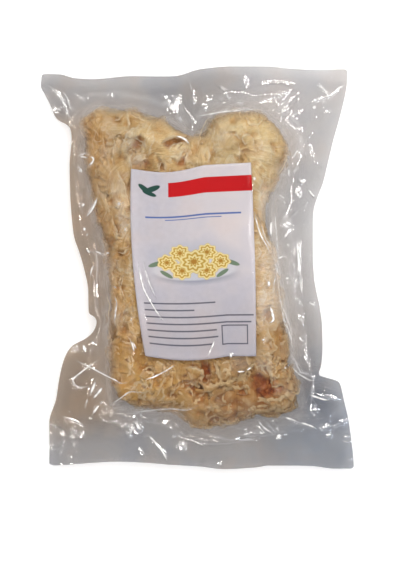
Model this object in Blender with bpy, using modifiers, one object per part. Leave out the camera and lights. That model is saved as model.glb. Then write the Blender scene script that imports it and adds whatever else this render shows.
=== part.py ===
"""Bag of dried snow fungus: a clear vacuum pouch of two sealed film webs, with six
pressed fungus heads in it and a paper label under the front web.

The bag lies on its back web on Z = 0. X is across the bag, Y along it, and the
origin is under the middle of its outline. Lengths are in metres.
"""

import math

import bmesh
import bpy
import numpy as np
from mathutils import Vector, noise

MM = 0.001

# ---- driving dimensions -----------------------------------------------------
FILM_THICKNESS = 0.4 * MM  # the webs as modelled, a few times the real film
WEB_GAP = 0.5 * MM  # left between the two webs where they are sealed
PACK_HEIGHT = 43.0 * MM  # mean height of the front web over the contents
SEAM_HEIGHT = 15.0 * MM  # mean height of the sealed margin over the table
SHOULDER_RADIUS = 21.0 * MM  # how far in from their outline the contents reach full height
FILM_REACH = 9.0 * MM  # how far out from the contents the two webs meet
LABEL_THICKNESS = 0.3 * MM
LABEL_DEPTH = 1.9 * MM  # the label's face under the front web's outer face
HEAD_TOP_DEPTH = 3.9 * MM  # the heads' tops under the front web's outer face
HEAD_BASE_LIFT = 1.7 * MM  # the heads' undersides over the back web's outer face
FILM_COLUMNS, FILM_ROWS = 24, 30
LABEL_COLUMNS, LABEL_ROWS = 9, 14
EDGE_FADE = 2.5  # how fast an edge's own shape dies away into the sheet

# The pouch's four edges as (x, y) in millimetres. The sealed ends keep the
# pouch's full flat width, and the sides are drawn in by the contents.
TOP_EDGE = [
    (-127.8, 158.2), (-125.7, 159.1), (-113.7, 158.8), (-100.0, 155.5), (-86.5, 154.7),
    (-53.0, 157.0), (-26.9, 156.8), (-17.5, 157.3), (2.2, 162.8), (28.4, 165.3),
    (59.8, 165.1), (73.3, 163.6), (98.4, 162.3), (121.4, 162.9), (123.2, 161.0),
]
BOTTOM_EDGE = [
    (-121.6, -160.9), (-117.8, -162.4), (-102.2, -161.6), (-86.5, -160.2), (-64.5, -159.2),
    (-36.2, -160.5), (-23.7, -161.6), (2.2, -163.2), (22.1, -165.3), (48.2, -163.9),
    (58.7, -162.4), (77.5, -162.4), (94.2, -162.9), (113.1, -165.0), (126.7, -165.0),
    (128.5, -163.4),
]
LEFT_EDGE = [
    (-121.6, -160.9), (-121.5, -139.9), (-121.5, -127.3), (-115.8, -107.2), (-113.7, -93.6),
    (-111.6, -83.1), (-107.4, -70.6), (-102.2, -63.8), (-90.7, -57.5), (-84.4, -50.7),
    (-82.6, -44.4), (-83.9, -40.8), (-89.1, -37.1), (-89.6, -18.3), (-92.7, -2.0),
    (-96.9, 12.7), (-101.1, 25.3), (-102.7, 37.8), (-104.2, 57.6), (-104.8, 83.8),
    (-103.2, 106.5), (-104.2, 113.9), (-107.4, 117.5), (-113.7, 120.7), (-116.9, 124.3),
    (-120.0, 131.7), (-125.2, 142.1), (-128.5, 149.4), (-127.8, 158.2),
]
RIGHT_EDGE = [
    (128.5, -163.4), (128.2, -157.6), (126.1, -138.6), (123.6, -122.9), (119.9, -107.2),
    (117.3, -96.2), (115.2, -93.1), (106.8, -90.4), (100.5, -88.6), (99.7, -86.3),
    (101.6, -80.0), (102.6, -65.4), (102.4, -49.7), (100.5, -33.0), (97.4, -18.3),
    (95.9, -9.3), (94.8, 10.6), (94.8, 31.5), (95.3, 46.2), (98.4, 57.6),
    (102.6, 68.1), (106.8, 84.9), (111.5, 104.7), (116.2, 121.2), (121.4, 142.6),
    (122.8, 151.5), (123.2, 161.0),
]

# The contents' outline seen from above, clockwise from the top left lobe.
CONTENTS_OUTLINE = [
    (-96.2, 120.3), (-83.3, 130.6), (-67.5, 131.0), (-51.1, 129.6), (-31.4, 124.4),
    (-15.3, 116.2), (-5.2, 108.8), (4.3, 110.7), (11.6, 124.4), (28.5, 128.5),
    (52.2, 127.7), (64.9, 118.1), (73.3, 105.5), (74.4, 91.6), (70.3, 80.9),
    (62.4, 62.9), (59.7, 46.5), (60.5, 30.9), (64.9, 7.1), (69.1, -26.5),
    (76.5, -60.1), (77.2, -76.5), (83.8, -95.4), (84.2, -118.3), (64.5, -124.1),
    (33.4, -127.3), (12.9, -133.1), (-6.0, -130.6), (-15.8, -118.3), (-56.8, -115.0),
    (-70.8, -112.6), (-72.8, -68.3), (-72.3, -26.5), (-74.8, 12.9), (-83.3, 37.5),
    (-90.7, 78.5), (-91.8, 104.7),
]

# The label's corners in millimetres: bottom left, bottom right, top right, top left.
LABEL_CORNERS = [(-42.6, -72.2), (48.2, -72.5), (43.9, 86.1), (-54.3, 80.9)]

# Each head's cell, as seen from above: centre x, y, half width, half length (mm), seed.
HEADS = {
    "head_top_left": (-45.5, 88.0, 44.5, 41.0, 3.1),
    "head_top_right": (36.5, 88.0, 36.0, 41.0, 7.7),
    "head_middle_left": (-39.0, 4.0, 37.0, 41.0, 11.3),
    "head_middle_right": (33.5, 4.0, 33.0, 41.0, 19.9),
    "head_bottom_left": (-34.5, -84.0, 36.5, 45.0, 23.4),
    "head_bottom_right": (43.5, -84.0, 39.5, 45.0, 31.8),
}
HEAD_MARGIN = 3.0 * MM  # kept between a head and the contents' outline


def metres(points):
    return np.array(points, dtype=float) * MM


EDGES = {
    "top": metres(TOP_EDGE),
    "bottom": metres(BOTTOM_EDGE),
    "left": metres(LEFT_EDGE),
    "right": metres(RIGHT_EDGE),
}
OUTLINE = metres(CONTENTS_OUTLINE)


def along(points, axis, t):
    """The point at share t of an edge's run along one axis."""
    run = points[:, axis]
    at = run[0] + (run[-1] - run[0]) * t
    other = np.interp(at, run, points[:, 1 - axis])
    return (at, other) if axis == 0 else (other, at)


def pouch_point(u, v):
    """(u, v) in 0..1 to the pouch's plan: its corners' quadrilateral, with each
    edge's own bow and notches dying away quickly from that edge."""
    bl, br = EDGES["bottom"][0], EDGES["bottom"][-1]
    tl, tr = EDGES["top"][0], EDGES["top"][-1]
    out = []
    for k in (0, 1):
        at = (
            (1 - u) * (1 - v) * bl[k] + u * (1 - v) * br[k]
            + (1 - u) * v * tl[k] + u * v * tr[k]
        )
        at += (along(EDGES["left"], 1, v)[k] - (1 - v) * bl[k] - v * tl[k]) * (1 - u) ** EDGE_FADE
        at += (along(EDGES["right"], 1, v)[k] - (1 - v) * br[k] - v * tr[k]) * u ** EDGE_FADE
        at += (along(EDGES["bottom"], 0, u)[k] - (1 - u) * bl[k] - u * br[k]) * (1 - v) ** EDGE_FADE
        at += (along(EDGES["top"], 0, u)[k] - (1 - u) * tl[k] - u * tr[k]) * v ** EDGE_FADE
        out.append(at)
    return out


def depth_inside(x, y):
    """Distance to the contents' outline, positive inside it."""
    a = OUTLINE
    b = np.roll(OUTLINE, -1, axis=0)
    p = np.array((x, y))
    ab = b - a
    t = np.clip(((p - a) * ab).sum(1) / (ab * ab).sum(1), 0, 1)
    nearest = np.sqrt((((a + ab * t[:, None]) - p) ** 2).sum(1).min())
    crosses = (a[:, 1] > y) != (b[:, 1] > y)
    dy = np.where(np.abs(b[:, 1] - a[:, 1]) < 1e-9, 1e-9, b[:, 1] - a[:, 1])
    at = a[:, 0] + (y - a[:, 1]) / dy * (b[:, 0] - a[:, 0])
    inside = np.count_nonzero(crosses & (x < at)) % 2 == 1
    return nearest if inside else -nearest


def swell(x, y):
    """0 in the sealed margin, rising to 1 over the contents."""
    s = (depth_inside(x, y) + FILM_REACH) / (SHOULDER_RADIUS + FILM_REACH)
    s = min(max(0.5 * (s + math.sqrt(s * s + 0.006)) - 0.002, 0.0), 1.0)
    return 1 - (1 - s) ** 2.2


def seam_height(x, y):
    """The sealed margin's middle surface: a slow wave, lower towards its corners."""
    wave = 2.6 * math.sin(x / MM / 31 + 0.6) * math.cos(y / MM / 37 - 0.4)
    droop = 3.5 * (abs(x) / (128 * MM)) ** 2 * (abs(y) / (165 * MM)) ** 2
    return SEAM_HEIGHT + (wave - droop) * MM


def top_height(x, y):
    """The front web's outer face over full contents, with the heads' slow lumps."""
    lump = 1.8 * noise.noise(Vector((x / MM / 46, y / MM / 46, 2.7)))
    end = 3.0 * max(abs(y) / (130 * MM) - 0.55, 0) ** 2
    return PACK_HEIGHT + (lump - 4 * end) * MM


def front_face(x, y):
    g = swell(x, y)
    half = WEB_GAP / 2 + FILM_THICKNESS
    return (1 - g) * (seam_height(x, y) + half) + g * top_height(x, y)


def back_face(x, y):
    g = swell(x, y)
    half = WEB_GAP / 2 + FILM_THICKNESS
    return max((1 - g) * (seam_height(x, y) - half), 0.0)


# ---- building ---------------------------------------------------------------
def clear_scene():
    for obj in list(bpy.data.objects):
        bpy.data.objects.remove(obj, do_unlink=True)


def material(name, color, roughness, alpha=1.0):
    made = bpy.data.materials.new(name)
    made.use_nodes = True
    shader = made.node_tree.nodes["Principled BSDF"]
    shader.inputs["Base Color"].default_value = (*color, 1.0)
    shader.inputs["Roughness"].default_value = roughness
    shader.inputs["Metallic"].default_value = 0.0
    shader.inputs["Alpha"].default_value = alpha
    return made


def grid(name, columns, rows, place, flip):
    """A grid sheet whose points are placed by a rule of (u, v)."""
    bm = bmesh.new()
    bmesh.ops.create_grid(bm, x_segments=columns, y_segments=rows, size=0.5)
    for vert in bm.verts:
        vert.co = Vector(place(vert.co.x + 0.5, vert.co.y + 0.5))
    if flip:
        bmesh.ops.reverse_faces(bm, faces=bm.faces)
    mesh = bpy.data.meshes.new(name)
    bm.to_mesh(mesh)
    bm.free()
    mesh.shade_smooth()
    return bpy.data.objects.new(name, mesh)


def solidify(obj, thickness):
    mod = obj.modifiers.new("Wall", "SOLIDIFY")
    mod.thickness = thickness
    mod.offset = -1.0


def film(name, face, flip):
    def place(u, v):
        x, y = pouch_point(u, v)
        return x, y, face(x, y)

    obj = grid(name, FILM_COLUMNS, FILM_ROWS, place, flip)
    solidify(obj, FILM_THICKNESS)
    return obj


def label():
    bl, br, tr, tl = (Vector(c) * MM for c in LABEL_CORNERS)

    def place(u, v):
        p = (bl * (1 - u) + br * u) * (1 - v) + (tl * (1 - u) + tr * u) * v
        return p.x, p.y, front_face(p.x, p.y) - LABEL_DEPTH

    obj = grid("label", LABEL_COLUMNS, LABEL_ROWS, place, False)
    solidify(obj, LABEL_THICKNESS)
    return obj


def head(name, cx, cy, half_x, half_y, seed):
    """A pressed lump: a round cage squared off to its cell, knobbly, and fitted between the webs."""
    cx, cy, half_x, half_y = (v * MM for v in (cx, cy, half_x, half_y))
    bm = bmesh.new()
    bmesh.ops.create_uvsphere(bm, u_segments=12, v_segments=7, radius=1.0)
    for vert in bm.verts:
        n = vert.co.normalized()
        square = n / (abs(n.x) ** 4 + abs(n.y) ** 4 + abs(n.z) ** 4) ** 0.25
        knob = 1.0 - 0.10 * (0.5 + noise.noise(n * 2.3 + Vector((seed, 0, 0))))
        reach = knob
        for _ in range(40):
            x, y = cx + half_x * square.x * reach, cy + half_y * square.y * reach
            if depth_inside(x, y) > HEAD_MARGIN:
                break
            reach -= 0.02
        low = back_face(x, y) + HEAD_BASE_LIFT
        high = front_face(x, y) - HEAD_TOP_DEPTH
        vert.co = Vector((x, y, low + (high - low) * (0.5 + 0.5 * square.z)))
    mesh = bpy.data.meshes.new(name)
    bm.to_mesh(mesh)
    bm.free()
    mesh.shade_smooth()
    obj = bpy.data.objects.new(name, mesh)
    mod = obj.modifiers.new("Soft", "SUBSURF")
    mod.levels = mod.render_levels = 1
    return obj


def main():
    clear_scene()
    bag = bpy.data.collections.new("bag of dried snow fungus")
    bpy.context.scene.collection.children.link(bag)
    clear_film = material("clear film", (0.86, 0.86, 0.85), 0.08, 0.3)
    paper = material("label paper", (0.85, 0.83, 0.86), 0.7)
    fungus = material("dried fungus", (0.80, 0.64, 0.40), 0.75)

    made = [
        (film("front_film", front_face, False), clear_film),
        (film("back_film", back_face, True), clear_film),
        (label(), paper),
    ]
    made += [(head(name, *cell), fungus) for name, cell in HEADS.items()]
    holder = bpy.data.objects.new("bag", None)
    bag.objects.link(holder)
    for obj, finish in made:
        obj.data.materials.append(finish)
        bag.objects.link(obj)
        obj.parent = holder


main()
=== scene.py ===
"""Looks of a bag of dried snow fungus: crinkled clear vacuum film, ruffled pressed
fungus heads and a printed paper label under the film, seen from straight above."""

import math

import bpy
import numpy as np
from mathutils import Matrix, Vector


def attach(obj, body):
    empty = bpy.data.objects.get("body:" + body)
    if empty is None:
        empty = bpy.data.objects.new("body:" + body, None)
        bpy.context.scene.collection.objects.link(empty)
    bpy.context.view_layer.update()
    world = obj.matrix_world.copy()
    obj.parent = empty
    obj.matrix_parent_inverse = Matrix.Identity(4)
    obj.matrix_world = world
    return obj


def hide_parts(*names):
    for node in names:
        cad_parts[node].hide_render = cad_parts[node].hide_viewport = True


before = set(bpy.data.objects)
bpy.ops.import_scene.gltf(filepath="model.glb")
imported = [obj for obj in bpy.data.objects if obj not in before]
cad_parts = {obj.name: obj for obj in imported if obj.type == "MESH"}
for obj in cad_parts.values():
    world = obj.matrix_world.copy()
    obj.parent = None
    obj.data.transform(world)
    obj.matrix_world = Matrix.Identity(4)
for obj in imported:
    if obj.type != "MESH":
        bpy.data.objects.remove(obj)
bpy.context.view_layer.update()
MM = 0.001

# ---- scale of the photograph: 0.82 mm a pixel, its axes on +X and +Y ---------
PX_MM, PX_X, PX_Y = 0.82, 197.3, 267.7


def photo(x, y):
    """A photo pixel to millimetres in the bag's frame."""
    return ((x - PX_X) * PX_MM, (PX_Y - y) * PX_MM)


# ---- the pouch, as the CAD has it (millimetres) -------------------------------
PACK_HEIGHT, SEAM_HEIGHT = 43.0, 15.0
SHOULDER_RADIUS, FILM_REACH = 21.0, 9.0
EDGE_FADE = 2.5
TOP_EDGE = [
    (-127.8, 158.2), (-125.7, 159.1), (-113.7, 158.8), (-100.0, 155.5), (-86.5, 154.7),
    (-53.0, 157.0), (-26.9, 156.8), (-17.5, 157.3), (2.2, 162.8), (28.4, 165.3),
    (59.8, 165.1), (73.3, 163.6), (98.4, 162.3), (121.4, 162.9), (123.2, 161.0),
]
BOTTOM_EDGE = [
    (-121.6, -160.9), (-117.8, -162.4), (-102.2, -161.6), (-86.5, -160.2), (-64.5, -159.2),
    (-36.2, -160.5), (-23.7, -161.6), (2.2, -163.2), (22.1, -165.3), (48.2, -163.9),
    (58.7, -162.4), (77.5, -162.4), (94.2, -162.9), (113.1, -165.0), (126.7, -165.0),
    (128.5, -163.4),
]
LEFT_EDGE = [
    (-121.6, -160.9), (-121.5, -139.9), (-121.5, -127.3), (-115.8, -107.2), (-113.7, -93.6),
    (-111.6, -83.1), (-107.4, -70.6), (-102.2, -63.8), (-90.7, -57.5), (-84.4, -50.7),
    (-82.6, -44.4), (-83.9, -40.8), (-89.1, -37.1), (-89.6, -18.3), (-92.7, -2.0),
    (-96.9, 12.7), (-101.1, 25.3), (-102.7, 37.8), (-104.2, 57.6), (-104.8, 83.8),
    (-103.2, 106.5), (-104.2, 113.9), (-107.4, 117.5), (-113.7, 120.7), (-116.9, 124.3),
    (-120.0, 131.7), (-125.2, 142.1), (-128.5, 149.4), (-127.8, 158.2),
]
RIGHT_EDGE = [
    (128.5, -163.4), (128.2, -157.6), (126.1, -138.6), (123.6, -122.9), (119.9, -107.2),
    (117.3, -96.2), (115.2, -93.1), (106.8, -90.4), (100.5, -88.6), (99.7, -86.3),
    (101.6, -80.0), (102.6, -65.4), (102.4, -49.7), (100.5, -33.0), (97.4, -18.3),
    (95.9, -9.3), (94.8, 10.6), (94.8, 31.5), (95.3, 46.2), (98.4, 57.6),
    (102.6, 68.1), (106.8, 84.9), (111.5, 104.7), (116.2, 121.2), (121.4, 142.6),
    (122.8, 151.5), (123.2, 161.0),
]
CONTENTS_OUTLINE = [
    (-96.2, 120.3), (-83.3, 130.6), (-67.5, 131.0), (-51.1, 129.6), (-31.4, 124.4),
    (-15.3, 116.2), (-5.2, 108.8), (4.3, 110.7), (11.6, 124.4), (28.5, 128.5),
    (52.2, 127.7), (64.9, 118.1), (73.3, 105.5), (74.4, 91.6), (70.3, 80.9),
    (62.4, 62.9), (59.7, 46.5), (60.5, 30.9), (64.9, 7.1), (69.1, -26.5),
    (76.5, -60.1), (77.2, -76.5), (83.8, -95.4), (84.2, -118.3), (64.5, -124.1),
    (33.4, -127.3), (12.9, -133.1), (-6.0, -130.6), (-15.8, -118.3), (-56.8, -115.0),
    (-70.8, -112.6), (-72.8, -68.3), (-72.3, -26.5), (-74.8, 12.9), (-83.3, 37.5),
    (-90.7, 78.5), (-91.8, 104.7),
]
LABEL_CORNERS = [(-42.2, -71.7), (47.8, -72.0), (43.5, 85.2), (-53.8, 80.1)]


# ---- smooth seeded noise ------------------------------------------------------
def _hash(ix, iy, iz, seed):
    with np.errstate(over="ignore"):
        h = (
            ix.astype(np.uint32) * np.uint32(374761393)
            ^ iy.astype(np.uint32) * np.uint32(668265263)
            ^ iz.astype(np.uint32) * np.uint32(2246822519)
            ^ np.uint32((seed * 3266489917 + 77) & 0xFFFFFFFF)
        )
        h ^= h >> np.uint32(15)
        h *= np.uint32(2246822519)
        h ^= h >> np.uint32(13)
        h *= np.uint32(3266489917)
        h ^= h >> np.uint32(16)
    return h


def noise(x, y, z=0.0, seed=0):
    """Gradient noise, about -1 to 1."""
    x, y, z = np.broadcast_arrays(
        np.asarray(x, np.float64), np.asarray(y, np.float64), np.asarray(z, np.float64)
    )
    xi, yi, zi = (np.floor(v).astype(np.int64) for v in (x, y, z))
    xf, yf, zf = x - xi, y - yi, z - zi
    ux, uy, uz = (v * v * v * (v * (v * 6 - 15) + 10) for v in (xf, yf, zf))
    total = 0.0
    for dx in (0, 1):
        wx = ux if dx else 1 - ux
        for dy in (0, 1):
            wy = uy if dy else 1 - uy
            for dz in (0, 1):
                wz = uz if dz else 1 - uz
                h = _hash(xi + dx, yi + dy, zi + dz, seed)
                gx = (h & 1023).astype(np.float64) / 511.5 - 1
                gy = ((h >> np.uint32(10)) & 1023).astype(np.float64) / 511.5 - 1
                gz = ((h >> np.uint32(20)) & 1023).astype(np.float64) / 511.5 - 1
                dot = gx * (xf - dx) + gy * (yf - dy) + gz * (zf - dz)
                total = total + wx * wy * wz * dot
    return total * 1.35


def smoothstep(lo, hi, x):
    t = np.clip((np.asarray(x, float) - lo) / (hi - lo), 0, 1)
    return t * t * (3 - 2 * t)


# ---- the contents' outline as a distance --------------------------------------
def outline_distance(x, y, outline):
    """Distance to a closed outline, positive inside it."""
    a = np.array(outline, float)
    b = np.roll(a, -1, axis=0)
    shape = x.shape
    px, py = x.ravel(), y.ravel()
    best = np.full(px.shape, 1e18)
    inside = np.zeros(px.shape, bool)
    for (ax, ay), (bx, by) in zip(a, b):
        ex, ey = bx - ax, by - ay
        t = np.clip(((px - ax) * ex + (py - ay) * ey) / (ex * ex + ey * ey), 0, 1)
        best = np.minimum(best, (ax + t * ex - px) ** 2 + (ay + t * ey - py) ** 2)
        if abs(ey) > 1e-9:
            crosses = (ay > py) != (by > py)
            inside ^= crosses & (px < ax + (py - ay) / ey * ex)
    return np.where(inside, 1, -1).reshape(shape) * np.sqrt(best).reshape(shape)


def outline_arc(x, y, outline):
    """How far round a closed outline its nearest point is, in mm."""
    a = np.array(outline, float)
    b = np.roll(a, -1, axis=0)
    best, arc, done = np.full(x.shape, 1e18), np.zeros(x.shape), 0.0
    for (ax, ay), (bx, by) in zip(a, b):
        ex, ey = bx - ax, by - ay
        size = math.hypot(ex, ey)
        t = np.clip(((x - ax) * ex + (y - ay) * ey) / (size * size), 0, 1)
        d = (ax + t * ex - x) ** 2 + (ay + t * ey - y) ** 2
        arc = np.where(d < best, done + t * size, arc)
        best = np.minimum(best, d)
        done += size
    return arc


STEP = 1.0  # raster pitch for looked-up fields
RX = np.arange(-134, 134.5, STEP)
RY = np.arange(-171, 171.5, STEP)
GX, GY = np.meshgrid(RX, RY)


def blur(field, times):
    for _ in range(times):
        p = np.pad(field, 1, mode="edge")
        field = (
            4 * p[1:-1, 1:-1] + 2 * (p[:-2, 1:-1] + p[2:, 1:-1] + p[1:-1, :-2] + p[1:-1, 2:])
            + p[:-2, :-2] + p[:-2, 2:] + p[2:, :-2] + p[2:, 2:]
        ) / 16
    return field


def look_up(field, x, y):
    fx = np.clip((x - RX[0]) / STEP, 0, len(RX) - 1.001)
    fy = np.clip((y - RY[0]) / STEP, 0, len(RY) - 1.001)
    i, j = fx.astype(int), fy.astype(int)
    u, v = fx - i, fy - j
    return (
        field[j, i] * (1 - u) * (1 - v) + field[j, i + 1] * u * (1 - v)
        + field[j + 1, i] * (1 - u) * v + field[j + 1, i + 1] * u * v
    )


DIST = blur(outline_distance(GX, GY, CONTENTS_OUTLINE), 6)
DIST_DY, DIST_DX = np.gradient(DIST, STEP)


def make_gathers():
    """Pleats that run out from the contents' edge into the loose film."""
    arc = outline_arc(GX, GY, CONTENTS_OUTLINE)
    bent = arc + 5 * noise(GX / 22, GY / 22, 0.3, 201)
    n = noise(bent / 9.5, DIST / 34, 0.4, 202)
    m = noise(bent / 4.4, DIST / 17, 0.4, 203)
    pleats = 1.1 * (0.45 - 1.9 * np.sqrt(n * n + 0.008)) + 0.35 * (0.45 - 1.9 * np.sqrt(m * m + 0.012))
    strength = 0.25 + 0.75 * smoothstep(-0.25, 0.5, noise(GX / 30, GY / 30, 0.8, 204))
    low = 1 - 0.4 * smoothstep(-112, -126, GY)
    return blur(low * pleats * strength * smoothstep(-34, -14, DIST) * smoothstep(4, -5, DIST), 2)


GATHERS = make_gathers()


def frond_limit():
    """The contents' outline as their fronds fill it: ragged, and short of it in places."""
    inside = DIST - 1.0 + 2.6 * noise(GX / 17, GY / 17, 0.9, 221) + 1.5 * noise(GX / 7.5, GY / 7.5, 0.9, 222)
    # (photo pixel, radius mm, depth mm)
    for at, radius, depth in (
        ((106, 407), 13, 11), ((305, 418), 12, 8), ((150, 411), 7, 4), ((120, 412), 9, 5), ((262, 424), 8, 4),
        ((151, 112), 6, 10), ((287, 112), 7, 5), ((203, 113), 6, 3), ((84, 128), 14, -4.5), ((86, 158), 11, -3.5), ((106, 352), 12, -3.0), ((104, 300), 10, -1.5), ((303, 372), 7, 3),
        ((273, 214), 10, 9), ((180, 118), 6, 4), ((96, 238), 12, 5), ((304, 396), 9, 2), ((262, 432), 12, 6), ((285, 425), 9, 5),
    ):
        cx, cy = photo(*at)
        inside = inside - depth * np.exp(-((GX - cx) ** 2 + (GY - cy) ** 2) / radius**2)
    return blur(inside, 2)


FRONDS = frond_limit()
FRONDS_DY, FRONDS_DX = np.gradient(FRONDS, STEP)


# ---- the film's creases, folds and dimples ------------------------------------
# (polyline in photo pixels, height mm, half width mm)
CREASES = [
    # the seal's inner line
    ([(44, 88.8), (80, 88.4), (118, 89), (190, 88.6)], 0.10, 0.6),
    # top left corner
    ([(50, 86), (63.5, 101), (70, 120)], 1.0, 1.3),
    ([(66, 96), (73, 112)], 0.7, 1.0),
    ([(44, 80), (62, 90.5), (74, 95), (90, 101), (100, 107)], -0.7, 2.6),
    ([(75, 92), (88, 104)], 0.6, 1.0),
    ([(188, 78), (193, 94), (192, 108)], 0.8, 1.1),
    ([(158, 92), (170, 96), (186, 94)], -0.9, 1.8),
    ([(179, 98), (177, 118), (186, 128)], 1.6, 2.0),
    ([(166, 101), (176, 117)], 1.0, 1.8),
    # top right
    ([(243, 72), (247.5, 86), (252, 88)], 1.5, 1.4),
    ([(251, 86.5), (266, 83.5), (282, 83), (296, 89)], 1.3, 1.5),
    ([(297, 88.5), (274, 97), (253, 105)], 1.7, 1.5),
    ([(214, 84), (225.5, 91), (230.6, 104)], 1.0, 1.4),
    ([(200, 97), (214, 94), (226, 93)], -0.9, 1.6),
    ([(199, 117), (212, 115), (226, 112), (245, 109.5), (262, 111)], 1.1, 1.1),
    ([(302, 91), (289, 102), (283, 113), (280.5, 128)], 1.1, 0.9),
    ([(306, 94), (294, 104), (288, 115)], 0.8, 0.9),
    ([(288, 117), (298, 114), (306, 109)], 0.8, 1.0),
    ([(291, 122), (297, 131), (306, 125)], 1.0, 1.0),
    ([(306, 105), (330, 96), (347, 85)], 1.2, 1.1),
    ([(316, 85), (325, 91), (329, 102)], 0.8, 0.9),
    ([(322, 84), (316, 92)], 0.5, 0.8),
    ([(306, 138), (314, 132)], 0.8, 1.0),
    ([(262, 112), (280, 104), (298, 92)], -1.2, 2.2),
    # right side
    ([(307, 140), (311, 149), (313.5, 160)], 1.3, 1.0),
    ([(304, 152), (307, 160)], 0.6, 0.8),
    ([(297, 148), (292, 161)], 0.8, 0.9),
    ([(297, 148), (302, 160)], 0.8, 0.9),
    ([(289, 166), (288, 180)], 1.0, 1.6),
    ([(295, 177), (301, 183.5), (306, 179)], 1.2, 1.3),
    ([(296, 184), (301, 199)], 1.1, 1.7),
    ([(307, 189), (313, 197), (317, 202)], 1.2, 1.2),
    ([(275, 194), (286, 204)], 0.9, 1.0),
    ([(279, 192), (288, 200)], 0.6, 0.9),
    ([(290, 216), (298, 210)], 0.8, 1.2),
    ([(279, 223.5), (296, 226)], 0.7, 1.0),
    ([(282, 240), (288.5, 232), (296, 227.5)], 0.9, 1.0),
    ([(271.5, 219), (270.8, 238)], 1.2, 1.4),
    ([(295.8, 243), (299, 261), (298.5, 274), (302.5, 297)], 1.4, 1.0),
    ([(275, 259.5), (286, 254)], 0.8, 1.0),
    ([(255, 216), (263, 240), (274, 261), (277, 282), (280, 303), (290, 329), (291, 354)], 1.5, 1.6),
    ([(264, 217), (270, 246), (277, 262)], 0.8, 1.2),
    ([(308, 301), (317, 306)], 1.0, 1.1),
    ([(300, 312), (303, 326)], 0.7, 1.6),
    ([(290, 352), (300, 372), (322, 380)], 0.9, 1.6),
    ([(303, 296), (301, 318), (306, 340), (300, 366)], -1.0, 2.4),
    # on the contents, right
    ([(268.6, 272), (268.3, 290)], 0.9, 1.1),
    ([(270, 306), (273.5, 319), (268, 323.5)], 1.1, 1.0),
    ([(236, 370), (246, 370.5), (256, 362)], 0.9, 1.0),
    ([(262, 336), (263, 343)], 0.9, 1.2),
    # lower left
    ([(83, 343), (87, 354)], 1.3, 1.2),
    ([(90, 340), (96, 343), (92, 348)], 0.9, 1.0),
    ([(72, 352), (80, 345)], 0.8, 1.4),
    ([(75, 360), (105, 373.5), (120, 383.5), (130, 380.5)], 1.1, 0.9),
    ([(99, 359.5), (72.5, 379.5), (78, 387.5), (95, 386)], 1.1, 0.9),
    ([(96.6, 378), (88.5, 398.5)], 1.5, 1.1),
    ([(101.5, 384), (92, 399)], 0.9, 1.3),
    ([(100, 402), (90, 422)], 0.9, 1.4),
    ([(61, 415.5), (75, 421), (88, 428)], 1.5, 1.3),
    ([(47, 424), (59.5, 427), (67, 436)], 1.6, 2.4),
    ([(72, 432), (78, 430)], 0.7, 1.2),
    ([(80, 436), (85, 431)], 0.8, 1.1),
    ([(47, 449), (62, 448)], 0.8, 1.6),
    ([(111, 406), (120, 400), (129, 391)], 1.0, 0.9),
    ([(116, 298), (116, 328)], 1.1, 1.1),
    ([(130, 316), (134, 325)], 0.8, 1.1),
    ([(132.5, 338), (135.5, 352), (136, 362)], 1.1, 1.0),
    ([(138, 352), (134, 361)], 0.7, 0.8),
    ([(88, 330), (104, 322), (112, 310)], -1.0, 2.0),
    # left side
    ([(77, 156), (88, 154), (95, 159)], 1.2, 1.1),
    ([(95, 157), (93, 166), (87, 168)], 1.2, 1.0),
    ([(77, 165), (83, 173)], 1.1, 1.1),
    ([(99, 197), (93, 207), (85, 218)], 1.2, 1.1),
    ([(81, 200), (83, 210)], 0.9, 1.1),
    ([(83, 226), (86, 233)], 0.9, 1.2),
    ([(84, 248), (95, 253), (104, 255), (112, 252.5)], 1.1, 1.0),
    ([(88, 276), (97, 265)], 1.1, 1.2),
    ([(75, 186), (80, 200), (78, 222)], -0.9, 1.8),
    ([(94, 232), (98, 262), (96, 290), (99, 318)], 0.9, 1.5),
    # over the label
    ([(139, 262), (147, 283), (153, 301), (165, 322)], 1.7, 0.9),
    ([(144, 262), (152, 284), (158, 300)], 1.2, 0.8),
    ([(217, 326), (212, 341), (206, 357)], 1.5, 0.8),
    ([(229, 348), (232, 358)], 1.3, 1.2),
    ([(250, 186), (253, 196)], 1.2, 1.3),
    # bottom of the contents
    ([(178, 362), (164, 371), (146, 379)], 1.0, 0.9),
    ([(135, 388), (128, 391)], 0.7, 0.8),
    ([(155, 410), (172, 408), (186, 409), (200, 403)], 1.0, 1.1),
    # bottom margin
    ([(127, 421), (135, 416), (141, 424)], 1.2, 0.9),
    ([(129, 432), (133, 424), (139, 429), (144, 433)], 1.4, 0.9),
    ([(131, 438), (128, 430)], 1.0, 0.8),
    ([(126, 413), (142, 412), (141, 417)], 0.8, 0.9),
    ([(148, 436), (164, 453.5), (169, 465)], 1.7, 1.2),
    ([(139, 444), (146, 460)], 1.0, 1.0),
    ([(142, 438), (156, 436)], -0.8, 1.2),
    ([(153, 431), (158, 428)], 0.6, 0.8),
    ([(256, 417), (265, 428.5), (277, 436)], 1.1, 1.0),
    ([(262, 417), (271, 427), (279, 437)], 0.9, 0.9),
    ([(283, 416), (298, 422), (318, 429)], 1.5, 1.1),
    ([(330, 427), (340, 422), (349, 418)], 1.5, 1.7),
    ([(326, 437), (332, 433)], 0.9, 1.2),
    ([(343, 437), (352, 436)], 0.9, 0.9),
    ([(342, 441.5), (353, 441)], 1.0, 0.8),
    ([(346, 458), (354, 459.5)], 0.9, 0.9),
    ([(309, 394.5), (326, 396), (344, 400)], 1.3, 1.2),
    ([(316, 386), (330, 390), (340, 392)], -1.0, 1.6),
    ([(220, 458), (221, 470)], 1.3, 1.4),
    ([(201, 408), (220, 426), (240, 431), (256, 428)], -0.9, 2.2),
    ([(196, 430), (230, 440), (262, 438)], 0.8, 2.0),
]
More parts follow.
